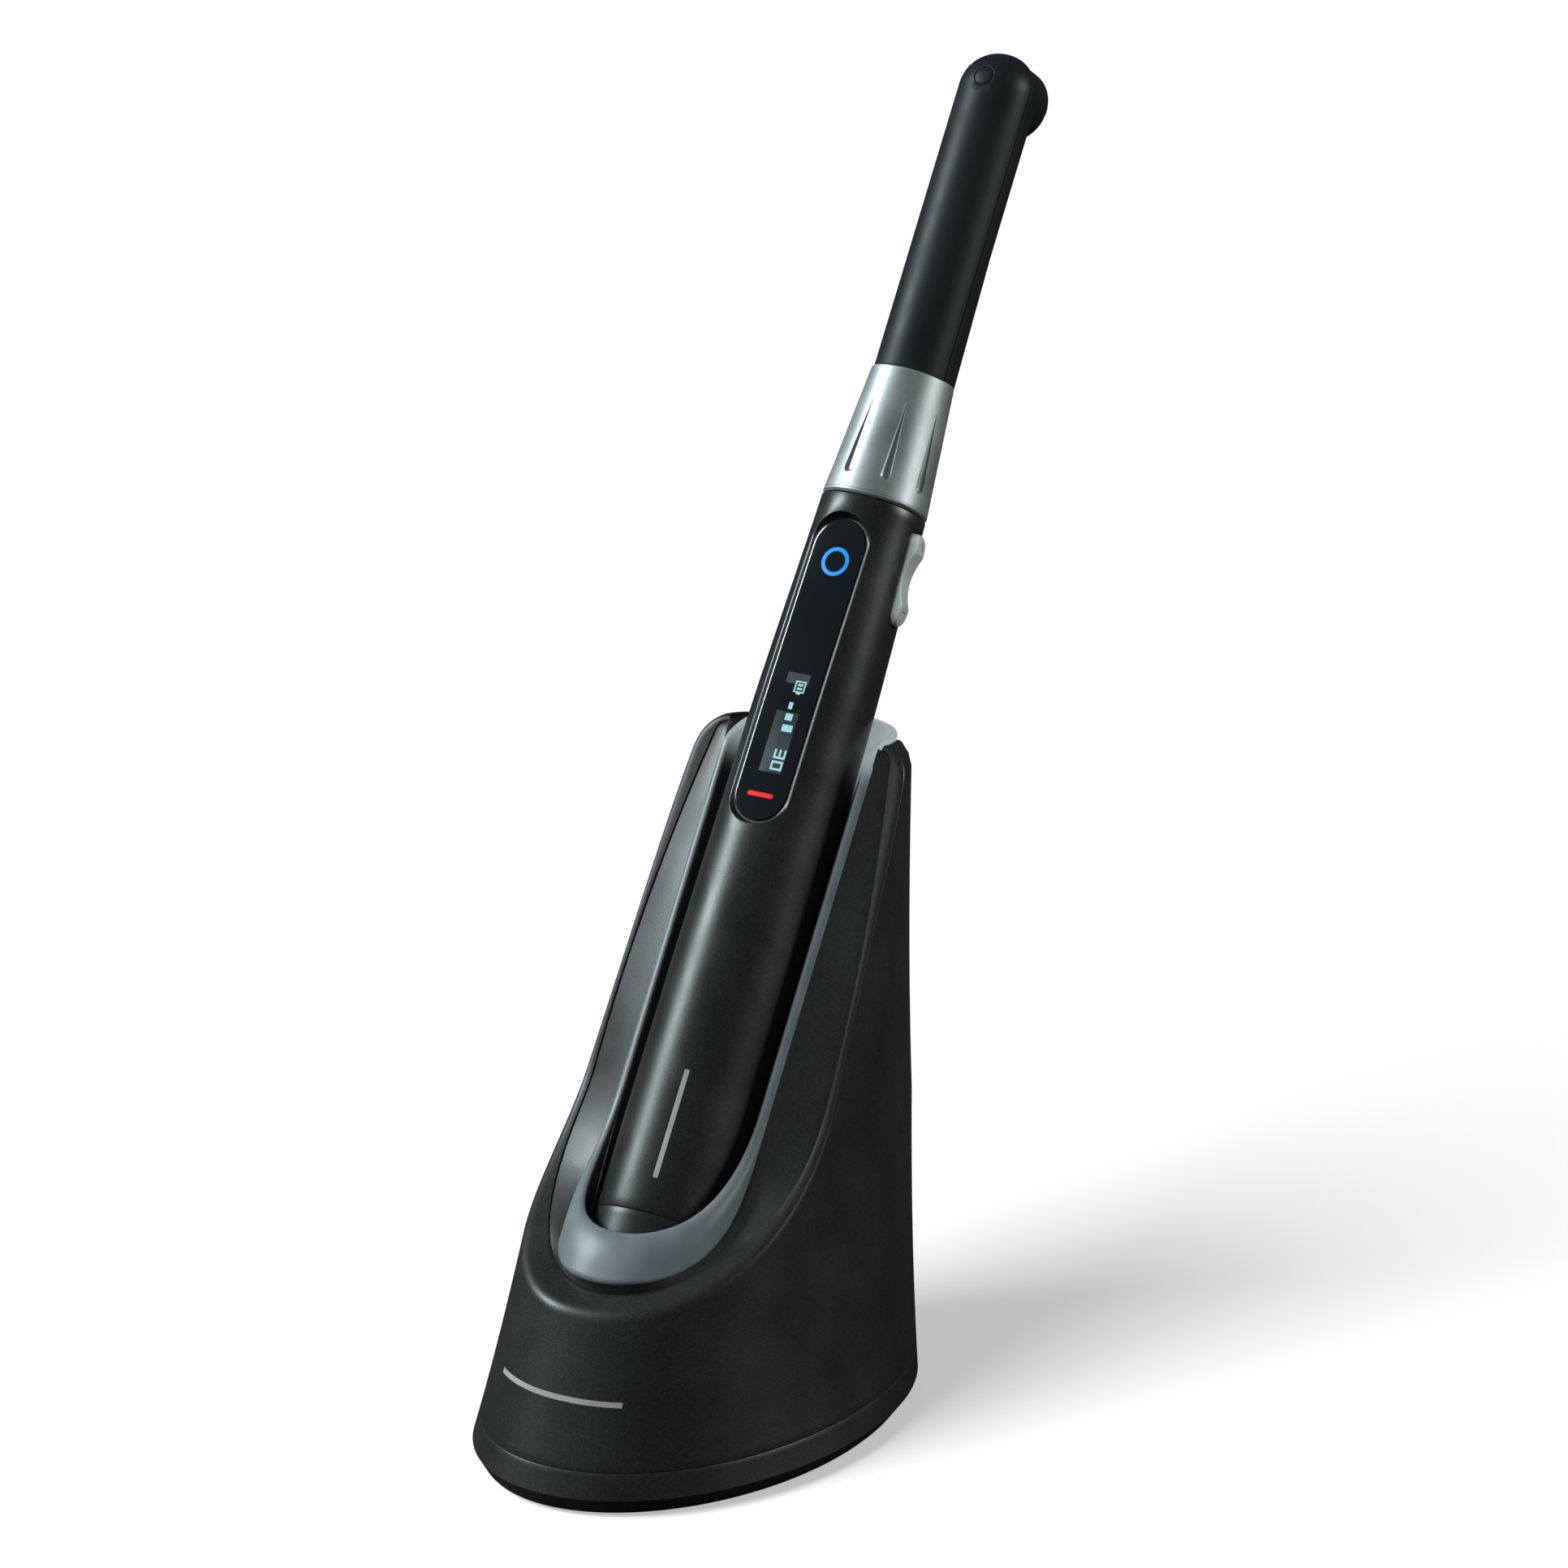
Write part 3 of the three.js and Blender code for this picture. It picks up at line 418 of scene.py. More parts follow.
def handle_coat():
    """Fine metallic coat of the handle."""
    return surface("handle_coat", (0.016, 0.019, 0.0188), (0.021, 0.0238, 0.0232), 0.36, metallic=0.5,
                   blotch=12, grain=0.17, depth=0.012, wear_and_sheen=0.15, speckle=0.5)


def window_black():
    return surface("window_black", (0.003, 0.0045, 0.006), (0.004, 0.006, 0.008), 0.09, blotch=20,
                   grain=4, depth=0.002, spread=0.02, extra={"Coat Weight": 0.6})


def rocker_grey():
    return surface("rocker_grey", (0.36, 0.39, 0.39), (0.42, 0.45, 0.45), 0.44, blotch=5, grain=0.25,
                   depth=0.008, wear_and_sheen=0.3, speckle=0.06)


def steel():
    return surface("steel", (0.42, 0.43, 0.44), (0.52, 0.53, 0.54), 0.3, metallic=1.0,
                   grain=0.3, depth=0.006)


def collar_metal():
    """Satin metal coat of the collar."""
    return surface("collar_metal", (0.25, 0.275, 0.28), (0.285, 0.305, 0.31), 0.47, metallic=0.75,
                   blotch=9, grain=0.16, depth=0.008, wear_and_sheen=0.35, speckle=0.1)


def circuit_board():
    return surface("circuit_board", (0.012, 0.11, 0.045), (0.02, 0.16, 0.065), 0.4, blotch=3,
                   grain=0.6, depth=0.02)


def cell_wrap():
    return surface("cell_wrap", (0.04, 0.13, 0.32), (0.06, 0.17, 0.4), 0.3, grain=0.8, depth=0.01)


def blue_light():
    return lit("blue_light", (0.0, 0.3, 1.0), 1.15)


def red_light():
    return lit("red_light", (1.0, 0.012, 0.015), 1.0)


def rubber():
    return surface("rubber", (0.012, 0.012, 0.012), (0.02, 0.02, 0.02), 0.75, grain=0.5, depth=0.03)


def lens_glass():
    return surface("lens_glass", (0.9, 0.94, 0.96), (0.95, 0.97, 0.98), 0.08, grain=3, depth=0.001,
                   spread=0.02, extra={"Transmission Weight": 0.9, "IOR": 1.5})


def pale_print():
    return surface("pale_print", (0.2, 0.2, 0.195), (0.25, 0.25, 0.245), 0.5, grain=0.2, depth=0.004)


def screen_text():
    return lit("screen_text", (0.42, 0.8, 0.9), 0.85, edge=0.8)


def screen_back():
    return lit("screen_back", (0.019, 0.032, 0.036), 1.0, edge=0.8)


LOOKS = {make.__name__: make() for make in (
    dock_plastic, silicone, black_plastic, satin_black, contact_brass, handle_coat, window_black,
    rocker_grey, steel, collar_metal, circuit_board, cell_wrap, blue_light, red_light, rubber,
    lens_glass, face_satin, pale_print, screen_text, screen_back)}


def dress_cad_nodes():
    """Gives every CAD node the look of its material slot."""
    for part in frame["record"]["subparts"]:
        node = frame["nodes"][part["node"]]
        look = LOOKS[part["material_slot"]]
        if not node.material_slots:
            node.data.materials.append(look)
        for slot in node.material_slots:
            slot.material = look


# ---- handle ----
# Distance from the window, and share of the recess's depth.
RECESS = ((0.1, 1.0), (0.5, 1.0), (0.6, 0.93), (0.95, 0.35), (1.1, 0.1), (1.18, 0.02), (1.3, 0.0))
LEDGE_DROP = 0.25  # ledge round the window, below the window's edge
WINDOW_CLEAR = 1.6  # loose points keep this far from the window
SLOT_CLEAR = 1.1  # and this far from the rocker's slot
# Distance from the slot or from an end, and depth of its broken edge.
SLOT_EDGE = ((ROCKER_GAP, 0.3), (ROCKER_GAP + 0.06, 0.1), (ROCKER_GAP + 0.2, 0.02), (ROCKER_GAP + 0.4, 0.0))
END_EDGE = ((0.0, 0.14), (0.06, 0.05), (0.2, 0.0))


def window_edge_depth(s):
    """Distance of the window's long edges in front of the wand's axis."""
    return sqrt((handle_radius(s) - WINDOW_SINK) ** 2 - WINDOW_HALF_WIDTH ** 2)


def unroll(x, s):
    """Flat place of a point of the handle that is straight in front of (x, s)."""
    return asin(x / handle_radius(s)) * FLAT_R, s


def build_handle():
    """The handle's tube, with a recess for the window in front and a slot for the rocker."""
    def window_gap(u, s):
        x = handle_radius(s) * sin(u / FLAT_R) if abs(u) < FLAT_R * 1.5 else FAR
        return stadium_distance(x, s - WINDOW_MIDDLE, WINDOW_HALF_WIDTH, WINDOW_HALF_LENGTH)

    def slot_gap(u, s):
        turn = u / FLAT_R - ROCKER_TURN
        across = handle_radius(s) * sin(turn) if abs(turn) < 1 else FAR
        return stadium_distance(across, s - ROCKER_MIDDLE, ROCKER_HALF_WIDTH, ROCKER_HALF_LENGTH)

    def place(u, s):
        depth = max(profile_at(SLOT_EDGE, slot_gap(u, s)),
                    profile_at(END_EDGE, s - HANDLE_LOW), profile_at(END_EDGE, HANDLE_HIGH - s))
        radius = handle_radius(s) - depth
        turn = u / FLAT_R
        x, y = radius * sin(turn), -radius * cos(turn)
        share = profile_at(RECESS, window_gap(u, s))
        ledge = LEDGE_DROP - window_edge_depth(s)
        return wand(x, y + (ledge - y) * share if share else y, s)

    loops = []
    for grow, _ in RECESS:
        outline = stadium(WINDOW_HALF_WIDTH, WINDOW_HALF_LENGTH, grow, step=2)
        loops.append([unroll(x, WINDOW_MIDDLE + v) for x, v in outline])
    for grow, _ in SLOT_EDGE:
        outline = stadium(ROCKER_HALF_WIDTH, ROCKER_HALF_LENGTH, grow, arc=12, step=2)
        loops.append([
            ((ROCKER_TURN + asin(c / handle_radius(ROCKER_MIDDLE + v))) * FLAT_R, ROCKER_MIDDLE + v)
            for c, v in outline])
    turns = steps(-pi * FLAT_R, pi * FLAT_R, 72)
    rows = [HANDLE_LOW + gap for gap, _ in END_EDGE] + steps(HANDLE_LOW + 2, HANDLE_HIGH - 2, 48)
    rows += [HANDLE_HIGH - gap for gap, _ in reversed(END_EDGE)]
    points = [(u, s) for s in rows for u in turns
              if window_gap(u, s) > WINDOW_CLEAR and slot_gap(u, s) > SLOT_CLEAR]
    keep = lambda u, s: window_gap(u, s) > RECESS[0][0] and slot_gap(u, s) > ROCKER_GAP
    bm = bmesh.new()
    sheet(bm, loops, points, keep, place)
    turn_in(bm, to_axis(HANDLE_WALL))
    piece("handle_tube", bm, "wand", "handle_coat", ["handle_shell"])


CAP_CORNER = 2.4  # rounding of the cap's foot
PAD_SPOT = 4  # the charging pads to each side of the axis


def build_end_cap():
    """The cap on the handle's foot, with a raised bead round each charging pad, and the two pads."""
    low = span("end_cap")[0]
    high = HANDLE_LOW - SEAM
    flat = handle_radius(low) - CAP_CORNER
    top = handle_radius(high)
    profile = [(0.01, low)] + [(r, low) for r in steps(2, flat, 4)]
    profile += [(flat + CAP_CORNER * sin(t), low + CAP_CORNER * (1 - cos(t)))
                for t in steps(0, QUARTER_TURN, 8)[1:]]
    profile += [(handle_radius(s), s) for s in steps(low + CAP_CORNER + 1, high - 0.2, 4)]
    profile += [(top - 0.05, high - FINE), (top - 0.14, high), (top - 1.5, high)]
    cap = bmesh.new()
    turned(cap, profile)
    bead = ((2.5, 0.35), (2.5, -0.02), (2.35, -0.08), (2.15, -0.02), (2.1, 0.4))
    dome = ((0.01, -0.16), (1.0, -0.13), (1.6, -0.06), (1.85, 0.05), (1.95, 0.5))

    def beside(bm, x, outline):
        turned(bm, [(r, low + rise) for r, rise in outline],
               place=lambda across, behind, s: wand(x + across, behind, s), sides=32)
    for x in (-PAD_SPOT, PAD_SPOT):
        beside(cap, x, bead)
    piece("end_cap_shell", cap, "wand", "handle_coat", ["end_cap"])
    for x, name in ((-PAD_SPOT, "left"), (PAD_SPOT, "right")):
        pad = bmesh.new()
        beside(pad, x, dome)
        piece("charge_button_" + name, pad, "wand", "contact_brass", ["charge_pad_" + name])


# ---- display ----
def on_window(x, s, lift=0.0):
    """A point on the window, which is gently domed between its two long edges."""
    dome = WINDOW_DOME * (1 - (x / WINDOW_HALF_WIDTH) ** 2)
    return wand(x, -window_edge_depth(s) - dome - lift, s)


# Distance inside the window's outline, and depth of its edge.
WINDOW_EDGE = ((0.0, 0.9), (0.02, 0.06), (0.08, 0.02), (0.2, 0.005), (0.6, 0.0))


def build_window():
    """The black pane with its thin broken edge."""
    inside = lambda x, v: -stadium_distance(x, v, WINDOW_HALF_WIDTH, WINDOW_HALF_LENGTH)
    loops = [stadium(WINDOW_HALF_WIDTH, WINDOW_HALF_LENGTH, -inset, arc=28, step=2)
             for inset, _ in WINDOW_EDGE]
    wide = WINDOW_HALF_WIDTH - 0.5
    long = WINDOW_HALF_LENGTH - 0.75
    points = [(x, v) for x in steps(-wide, wide, 13) for v in steps(-long, long, 30) if inside(x, v) > 0.8]
    place = lambda x, v: on_window(x, WINDOW_MIDDLE + v, -profile_at(WINDOW_EDGE, inside(x, v)))
    bm = bmesh.new()
    sheet(bm, loops, points, lambda x, v: inside(x, v) > 0, place)
    piece("window_pane", bm, "wand", "window_black", ["display_window"])


PRINT_LIFT = 0.03  # lit shapes stand this far off the window
BACK_LIFT = 0.015


def lit_patch(bm, corners, across, along, glow_of, lift=PRINT_LIFT):
    """A grid laid on the window, from a function of (a, b) in 0..1 to (x, s), with a glow at each corner."""
    layer = bm.verts.layers.float.get("glow") or bm.verts.layers.float.new("glow")
    spots = [[corners(a, b) for a in steps(0, 1, across)] for b in steps(0, 1, along)]
    made = grid(bm, [[on_window(x, s, lift) for x, s in row] for row in spots])
    for row, b in zip(made, steps(0, 1, along)):
        for vert, a in zip(row, steps(0, 1, across)):
            vert[layer] = glow_of(a, b)


def rectangle(bm, x0, x1, s0, s1, lift=PRINT_LIFT):
    across = max(1, round(abs(x1 - x0) / 0.4))
    corners = lambda a, b: (x0 + (x1 - x0) * a, s0 + (s1 - s0) * b)
    lit_patch(bm, corners, across, 2, lambda a, b: 1.0, lift)


SCREEN = (-2.0, 3.0, 98.0, 118.5)  # lit area: two sides across and two ends along
SEGMENTS = {"top": (0, 1, 1, 1), "middle": (0, 0.5, 1, 0.5), "low": (0, 0, 1, 0),
            "left_up": (0, 0.5, 0, 1), "left_low": (0, 0, 0, 0.5),
            "right_up": (1, 0.5, 1, 1), "right_low": (1, 0, 1, 0.5)}
DIGITS = {"3": ("top", "middle", "low", "right_up", "right_low"),
          "0": ("top", "low", "left_up", "left_low", "right_up", "right_low")}


def build_ring():
    """The blue ring of the touch key."""
    low, high = span("ring_light_guide")
    middle = (low + high) / 2
    outer = (high - low) / 2
    stroke = 0.85
    x = sum(corner.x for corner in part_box("ring_light_guide")) / 2 / MM
    bm = bmesh.new()

    def corners(a, b):
        radius = outer - stroke * a
        turn = 2 * pi * b
        return x + radius * cos(turn), middle + radius * sin(turn)
    lit_patch(bm, corners, 6, 72, lambda a, b: sin(pi * a))
    piece("touch_ring", bm, "wand", "blue_light")


def build_status_bar():
    """The red bar, which narrows at its two round ends."""
    middle = sum(span("status_bar_guide")) / 2
    half = 2.9
    rounding = 0.4
    bm = bmesh.new()

    def corners(a, b):
        x = half * (2 * a - 1)
        end = sqrt(max(0.0, 1 - max(0.0, (abs(x) - half + rounding) / rounding) ** 2))
        tall = (0.4 + 0.096 * end) * (0.25 + 0.75 * end)
        return x, middle + tall * (2 * b - 1)
    lit_patch(bm, corners, 24, 6, lambda a, b: sin(pi * b))
    piece("status_bar", bm, "wand", "red_light")


def build_screen():
    """The lit screen: a battery sign, three level bars and the number 30, read down the wand."""
    left, right, low, high = SCREEN
    back = bmesh.new()
    rectangle(back, left, right, low, high, BACK_LIFT)
    piece("screen_area", back, "wand", "window_black", finish=LOOKS["screen_back"])

    text = bmesh.new()
    base = right - 2.9

    def bar(along0, up0, along1, up1):
        """A bright bar in reading direction: along the wand downwards, with up towards +X."""
        rectangle(text, base + up0, base + up1, high - along1, high - along0)

    def battery(a0, u0, a1, u1, line=0.3):
        bar(a0, u0, a1, u0 + line)
        bar(a0, u1 - line, a1, u1)
        bar(a0, u0 + line, a0 + line, u1 - line)
        bar(a1 - line, u0 + line, a1, u1 - line)
        bar(a1, u0 + 0.75, a1 + 0.35, u1 - 0.75)
        for start in (a0 + 0.6, a0 + 1.35):
            bar(start, u0 + 0.6, start + 0.45, u1 - 0.6)

    def number(digits, start, pitch=2.35, wide=1.45, tall=2.15, floor=0.4, half=0.21):
        for k, digit in enumerate(digits):
            for name in DIGITS[digit]:
                c0, v0, c1, v1 = SEGMENTS[name]
                bar(start + pitch * k + c0 * wide - half, floor + v0 * tall - half,
                    start + pitch * k + c1 * wide + half, floor + v1 * tall + half)

    battery(1.5, 0.15, 3.9, 2.5)
    for k, tall in enumerate((0.9, 1.6, 2.3)):
        bar(6.0 + 2.3 * k, 0.15, 7.4 + 2.3 * k, 0.15 + tall)
    number("30", 15.9)
    piece("screen_symbols", text, "wand", "window_black", finish=LOOKS["screen_text"])


# ---- rocker ----
ROCKER_WAIST = 5.4  # where the hollow middle meets the two raised ends
ROCKER_LOWEST = 0.3  # rise of the hollow's middle above the handle
SIGN_BASE, SIGN_TIP, SIGN_HALF = 6.35, 8.15, 0.75  # the triangle sunk in each end
SIGN_DEPTH = 0.18
ROCKER_EDGE = ((0.0, 2.2), (0.03, 0.5), (0.1, 0.26), (0.25, 0.09), (0.45, 0.0))  # inset, depth


def rocker_height(v):
    """Rise of the rocker above the handle, at a distance along it from its middle."""
    tall = 1.75 if v < 0 else 1.5
    if abs(v) < ROCKER_WAIST:
        return ROCKER_LOWEST + (tall - ROCKER_LOWEST) * (abs(v) / ROCKER_WAIST) ** 2
    beyond = (abs(v) - ROCKER_WAIST) / (ROCKER_HALF_LENGTH - ROCKER_WAIST)
    return tall - 0.35 * beyond - 0.5 * beyond ** 4


def in_sign(c, v, grow=0.02):
    """Whether a place is in the triangle that points to the rocker's end."""
    w = abs(v)
    slope = SIGN_HALF / (SIGN_TIP - SIGN_BASE)
    return SIGN_BASE - grow < w < SIGN_TIP + grow and abs(c) < slope * (SIGN_TIP - w) + grow


def build_rocker():
    """The plus and minus rocker on the handle's side."""
    out = (sin(ROCKER_TURN), -cos(ROCKER_TURN))
    aside = (cos(ROCKER_TURN), sin(ROCKER_TURN))
    gap = lambda c, v: -stadium_distance(c, v, ROCKER_HALF_WIDTH, ROCKER_HALF_LENGTH)

    def place(c, v):
        drop = profile_at(ROCKER_EDGE, gap(c, v)) + 0.1 * (c / ROCKER_HALF_WIDTH) ** 2
        if in_sign(c, v):
            drop += SIGN_DEPTH
        radius = handle_radius(ROCKER_MIDDLE) + rocker_height(v) - drop
        return wand(out[0] * radius + aside[0] * c, out[1] * radius + aside[1] * c, ROCKER_MIDDLE + v)

    loops = [stadium(ROCKER_HALF_WIDTH, ROCKER_HALF_LENGTH, -inset, arc=18, step=0.7)
             for inset, _ in ROCKER_EDGE]
    for side in (-1, 1):
        for grow in (0.0, 0.08):
            base = side * (SIGN_BASE - grow)
            half = SIGN_HALF + grow
            loops.append([(-half, base), (half, base), (0.0, side * (SIGN_TIP + 1.6 * grow))])
    rows = steps(-9, 9, 36)
    rows += [-ROCKER_WAIST, ROCKER_WAIST, -ROCKER_WAIST + 0.12, ROCKER_WAIST - 0.12]
    points = [(c, v) for c in steps(-1.9, 1.9, 8) for v in rows if gap(c, v) > 0.6]
    bm = bmesh.new()
    sheet(bm, loops, points, lambda c, v: gap(c, v) > 0, place)
    piece("rocker_cap", bm, "rocker", "rocker_grey", ["rocker_button"], crease=28)


# ---- collar ----
def collar_radius(s):
    """The collar's plain cone."""
    share = (s - COLLAR_LOW) / (COLLAR_HIGH - COLLAR_LOW)
    return COLLAR_LOW_R + (COLLAR_HIGH_R - COLLAR_LOW_R) * share


FLUTE_LOW = COLLAR_LOW + 5
FLUTE_LENGTH = 15.5
FLUTE_HALF = 1.15
FLUTE_FIRST = radians(31)  # from the display round to the first flute
FLUTE_SPACING = 2 * pi / FLUTES
FLUTE_ROUNDNESS = 0.72  # a flute's depth against its half-width
COLLAR_WALL = 1.4
# Distance from the collar's end, and depth below its cone. The low end has a fine groove above it.
COLLAR_FOOT = ((0.0, 0.45), (0.42, 0.03), (0.5, 0.0), (0.74, 0.0), (0.8, 0.07), (0.92, 0.07), (0.98, 0.0))
COLLAR_MOUTH = ((0.0, 0.22), (0.1, 0.07), (0.25, 0.0))


def flute_half(v):
    """Half-width of a flute at a distance above its round end's middle."""
    if v < 0:
        return sqrt(max(0.0, FLUTE_HALF ** 2 - v * v))
    return FLUTE_HALF * (1 - v / FLUTE_LENGTH) ** 0.85


def flute_depth(u, s):
    """Depth of the nearest flute at an unrolled place on the collar."""
    turn = (u / FLAT_R - FLUTE_FIRST + FLUTE_SPACING / 2) % FLUTE_SPACING - FLUTE_SPACING / 2
    across, v = turn * collar_radius(s), s - FLUTE_LOW
    if not -FLUTE_HALF < v < FLUTE_LENGTH:
        return 0.0
    half = flute_half(v)
    if half < 1e-6 or abs(across) >= half:
        return 0.0
    return FLUTE_ROUNDNESS * half * sqrt(1 - (across / half) ** 2)


def flute_loops():
    """Outlines of every whole flute at a few shares of its width, unrolled."""
    levels = [FLUTE_HALF * sin(t) for t in steps(-QUARTER_TURN, 0, 6)] + steps(1.2, FLUTE_LENGTH, 14)
    loops = []
    for k in range(-FLUTES // 2, FLUTES // 2 + 1):
        middle = FLUTE_FIRST + k * FLUTE_SPACING
        for share in (1.0, 0.93, 0.75, 0.45):
            right = [(share * flute_half(v), v) for v in levels]
            outline = right + [(-c, v) for c, v in reversed(right[1:-1])]
            spots = [((middle + c / collar_radius(FLUTE_LOW + v)) * FLAT_R, FLUTE_LOW + v)
                     for c, v in outline]
            if all(abs(u) < pi * FLAT_R for u, _ in spots):
                loops.append(spots)
    return loops


def build_collar():
    """The metal collar with its flutes."""
    def place(u, s):
        depth = flute_depth(u, s) + profile_at(COLLAR_FOOT, s - COLLAR_LOW)
        depth += profile_at(COLLAR_MOUTH, COLLAR_HIGH - s)
        radius = collar_radius(s) - depth
        turn = u / FLAT_R
        return wand(radius * sin(turn), -radius * cos(turn), s)

    rows = [COLLAR_LOW + gap for gap, _ in COLLAR_FOOT] + steps(COLLAR_LOW + 1.6, COLLAR_HIGH - 0.8, 22)
    rows += [COLLAR_HIGH - gap for gap, _ in reversed(COLLAR_MOUTH)]
    around = steps(-pi * FLAT_R, pi * FLAT_R, 96)
    points = [(u, s) for s in rows for u in around if not flute_depth(u, s) > 0]
    bm = bmesh.new()
    sheet(bm, flute_loops(), points, lambda u, s: True, place)
    turn_in(bm, to_axis(COLLAR_WALL))
    piece("collar_sleeve", bm, "neck", "collar_metal", ["grip_collar"], crease=24)


# ---- neck and head ----
SEAM_TURN = acos((-SEAM_Y + SEAM / 2) / NECK_R)


# Distance from an edge, and depth of its rounding.
NECK_RIM = ((0.0, 0.1), (0.08, 0.02), (0.25, 0.0))
MARK_EDGE = ((0.05, 0.3), (0.07, 0.06), (0.16, 0.0))
NECK_END = ((0.0, 0.12), (0.15, 0.0))
MARK_CLEAR = 0.3  # loose points keep this far from the disc's outline


def neck_front_place(x, s):
    """The front shell's surface, straight in front of a flat place: round, with a ball for a tip."""
    up = max(0.0, s - HEAD)
    turn = asin(min(1.0, hypot(x, up) / NECK_R))
    depth = profile_at(NECK_RIM, (SEAM_TURN - turn) * NECK_R)
    depth += profile_at(MARK_EDGE, abs(mark_reach(x, s) - MARK_R))
    depth += profile_at(NECK_END, s - NECK_LOW)
    shrink = (NECK_R - depth) / NECK_R
    return wand(x * shrink, -NECK_R * cos(turn) * shrink, HEAD + up * shrink if up else s)


def mark_reach(x, s):
    return hypot(x, s - HEAD - MARK_RISE)


def build_neck_front():
    """The round front shell with the fingertip, and the small disc that sits in it near the top."""
    straight = [NECK_LOW, NECK_LOW + 0.15] + steps(NECK_LOW + 2, HEAD, 26)
    arches = []
    for turn in [SEAM_TURN * i / 18 for i in range(1, 18)] + [SEAM_TURN - 0.012, SEAM_TURN]:
        radius = NECK_R * sin(turn)
        arch = [(radius, s) for s in straight]
        arch += [(radius * cos(t), HEAD + radius * sin(t)) for t in steps(0, pi, 28)[1:-1]]
        arch += [(-radius, s) for s in reversed(straight)]
        arches.append(arch)
    loops = [arches[-1]]
    for gap, _ in MARK_EDGE:
        for radius in (MARK_R - gap, MARK_R + gap):
            loops.append([(radius * cos(t), HEAD + MARK_RISE + radius * sin(t))
                          for t in turns_round(40)])
    spots = [spot for arch in arches[:-1] for spot in arch] + [(0.0, s) for s in straight]
    points = [(x, s) for x, s in spots if abs(mark_reach(x, s) - MARK_R) > MARK_CLEAR]
    seam = NECK_R * sin(SEAM_TURN)
    gap = MARK_EDGE[0][0]
    on_cover = lambda x, s: hypot(x, max(0.0, s - HEAD)) < seam and mark_reach(x, s) > MARK_R + gap
    on_disc = lambda x, s: mark_reach(x, s) < MARK_R - gap
    for name, node, keep in (("neck_front_cover", "neck_front_shell", on_cover),
                             ("head_disc", "head_indicator", on_disc)):
        bm = bmesh.new()
        sheet(bm, loops, points, keep, neck_front_place)
        turn_in(bm, to_axis(NECK_WALL))
        piece(name, bm, "neck", "satin_black", [node])


def remeshed(bm, voxel):
    """A closed mesh remeshed into even quads, which rounds its corners and joins."""
    mesh = bpy.data.meshes.new("draft")
    bm.to_mesh(mesh)
    bm.free()
    draft = in_scene("draft", mesh)
    remesh = draft.modifiers.new("remesh", "REMESH")
    remesh.mode = "VOXEL"
    remesh.voxel_size = voxel * MM
    relax = draft.modifiers.new("relax", "SMOOTH")
    relax.iterations = 3
    relax.factor = 0.5
    depsgraph = bpy.context.evaluated_depsgraph_get()
    made = bmesh.new()
    made.from_mesh(draft.evaluated_get(depsgraph).to_mesh())
    bpy.data.objects.remove(draft)
    return made


def closed_loft(bm, rows):
    """Joins rings of points into a tube, closed at both ends."""
    made = grid(bm, rows, closed=True)
    bm.faces.new(list(reversed(made[0])))
    bm.faces.new(made[-1])


def cut(bm, place, normal, **side):
    bmesh.ops.bisect_plane(bm, geom=bm.verts[:] + bm.edges[:] + bm.faces[:], plane_co=place,
                           plane_no=normal, **side)


def add_neck_tube(bm):
    """The tube of the neck, flatter behind, with a heel at the collar."""
    rows = []
    for s in steps(NECK_LOW - 2, HEAD, 40):
        heel = max(0.0, 1 - (s - COLLAR_HIGH) / HEEL_LENGTH)
        back = NECK_BACK + (NECK_HEEL - NECK_BACK) * heel
        rows.append([wand(NECK_R * cos(t), (back if sin(t) > 0 else NECK_R) * sin(t), s)
                     for t in turns_round(96)])
    closed_loft(bm, rows)


def add_barrel(bm):
    """The lens barrel, straight behind the head, with a broken edge at its rim."""
    rows = ((BARREL_R, -6.0), (BARREL_R, 0.0), (BARREL_R, BARREL_FACE - 0.5),
            (BARREL_R - 0.12, BARREL_FACE - 0.12), (BARREL_R - 0.5, BARREL_FACE))
    closed_loft(bm, [[wand(r * cos(t), y, HEAD + r * sin(t)) for t in turns_round(96)]
                     for r, y in rows])


def add_tip(bm):
    """The front half of the ball that closes the head."""
    tip = bmesh.new()
    closed_loft(tip, [[wand(NECK_R * cos(e) * cos(t), NECK_R * cos(e) * sin(t),
                            HEAD + NECK_R * sin(e)) for t in turns_round(96)]
                      for e in steps(0, QUARTER_TURN - 0.03, 24)])
    cut(tip, wand(0, 0, 0), BEHIND, clear_outer=True)
    bmesh.ops.contextual_create(tip, geom=open_edges(tip))
    draft = bpy.data.meshes.new("tip")
    tip.to_mesh(draft)
    tip.free()
    bm.from_mesh(draft)
    bpy.data.meshes.remove(draft)


LENS_SEAT = 6.55  # radius of the opening that the lens ring covers


def build_neck_back():
    """The flatter back shell, with the lens barrel blended into it."""
    bm = bmesh.new()
    add_neck_tube(bm)
    add_barrel(bm)
    add_tip(bm)
    bmesh.ops.recalc_face_normals(bm, faces=bm.faces)
    made = remeshed(bm, 0.3)
    cut(made, wand(0, SEAM_Y + SEAM / 2, 0), BEHIND, clear_inner=True)
    cut(made, wand(0, 0, NECK_LOW), AXIS, clear_inner=True)

    def in_seat(vert):
        x, y, s = to_wand(vert.co / MM)
        return hypot(x, s - HEAD) < LENS_SEAT and y > BARREL_FACE - 0.6
    bmesh.ops.delete(made, geom=[vert for vert in made.verts if in_seat(vert)], context="VERTS")
    turn_in(made, to_axis(NECK_WALL))
    piece("neck_back_cover", made, "neck", "satin_black", ["neck_back_shell"], crease=50)


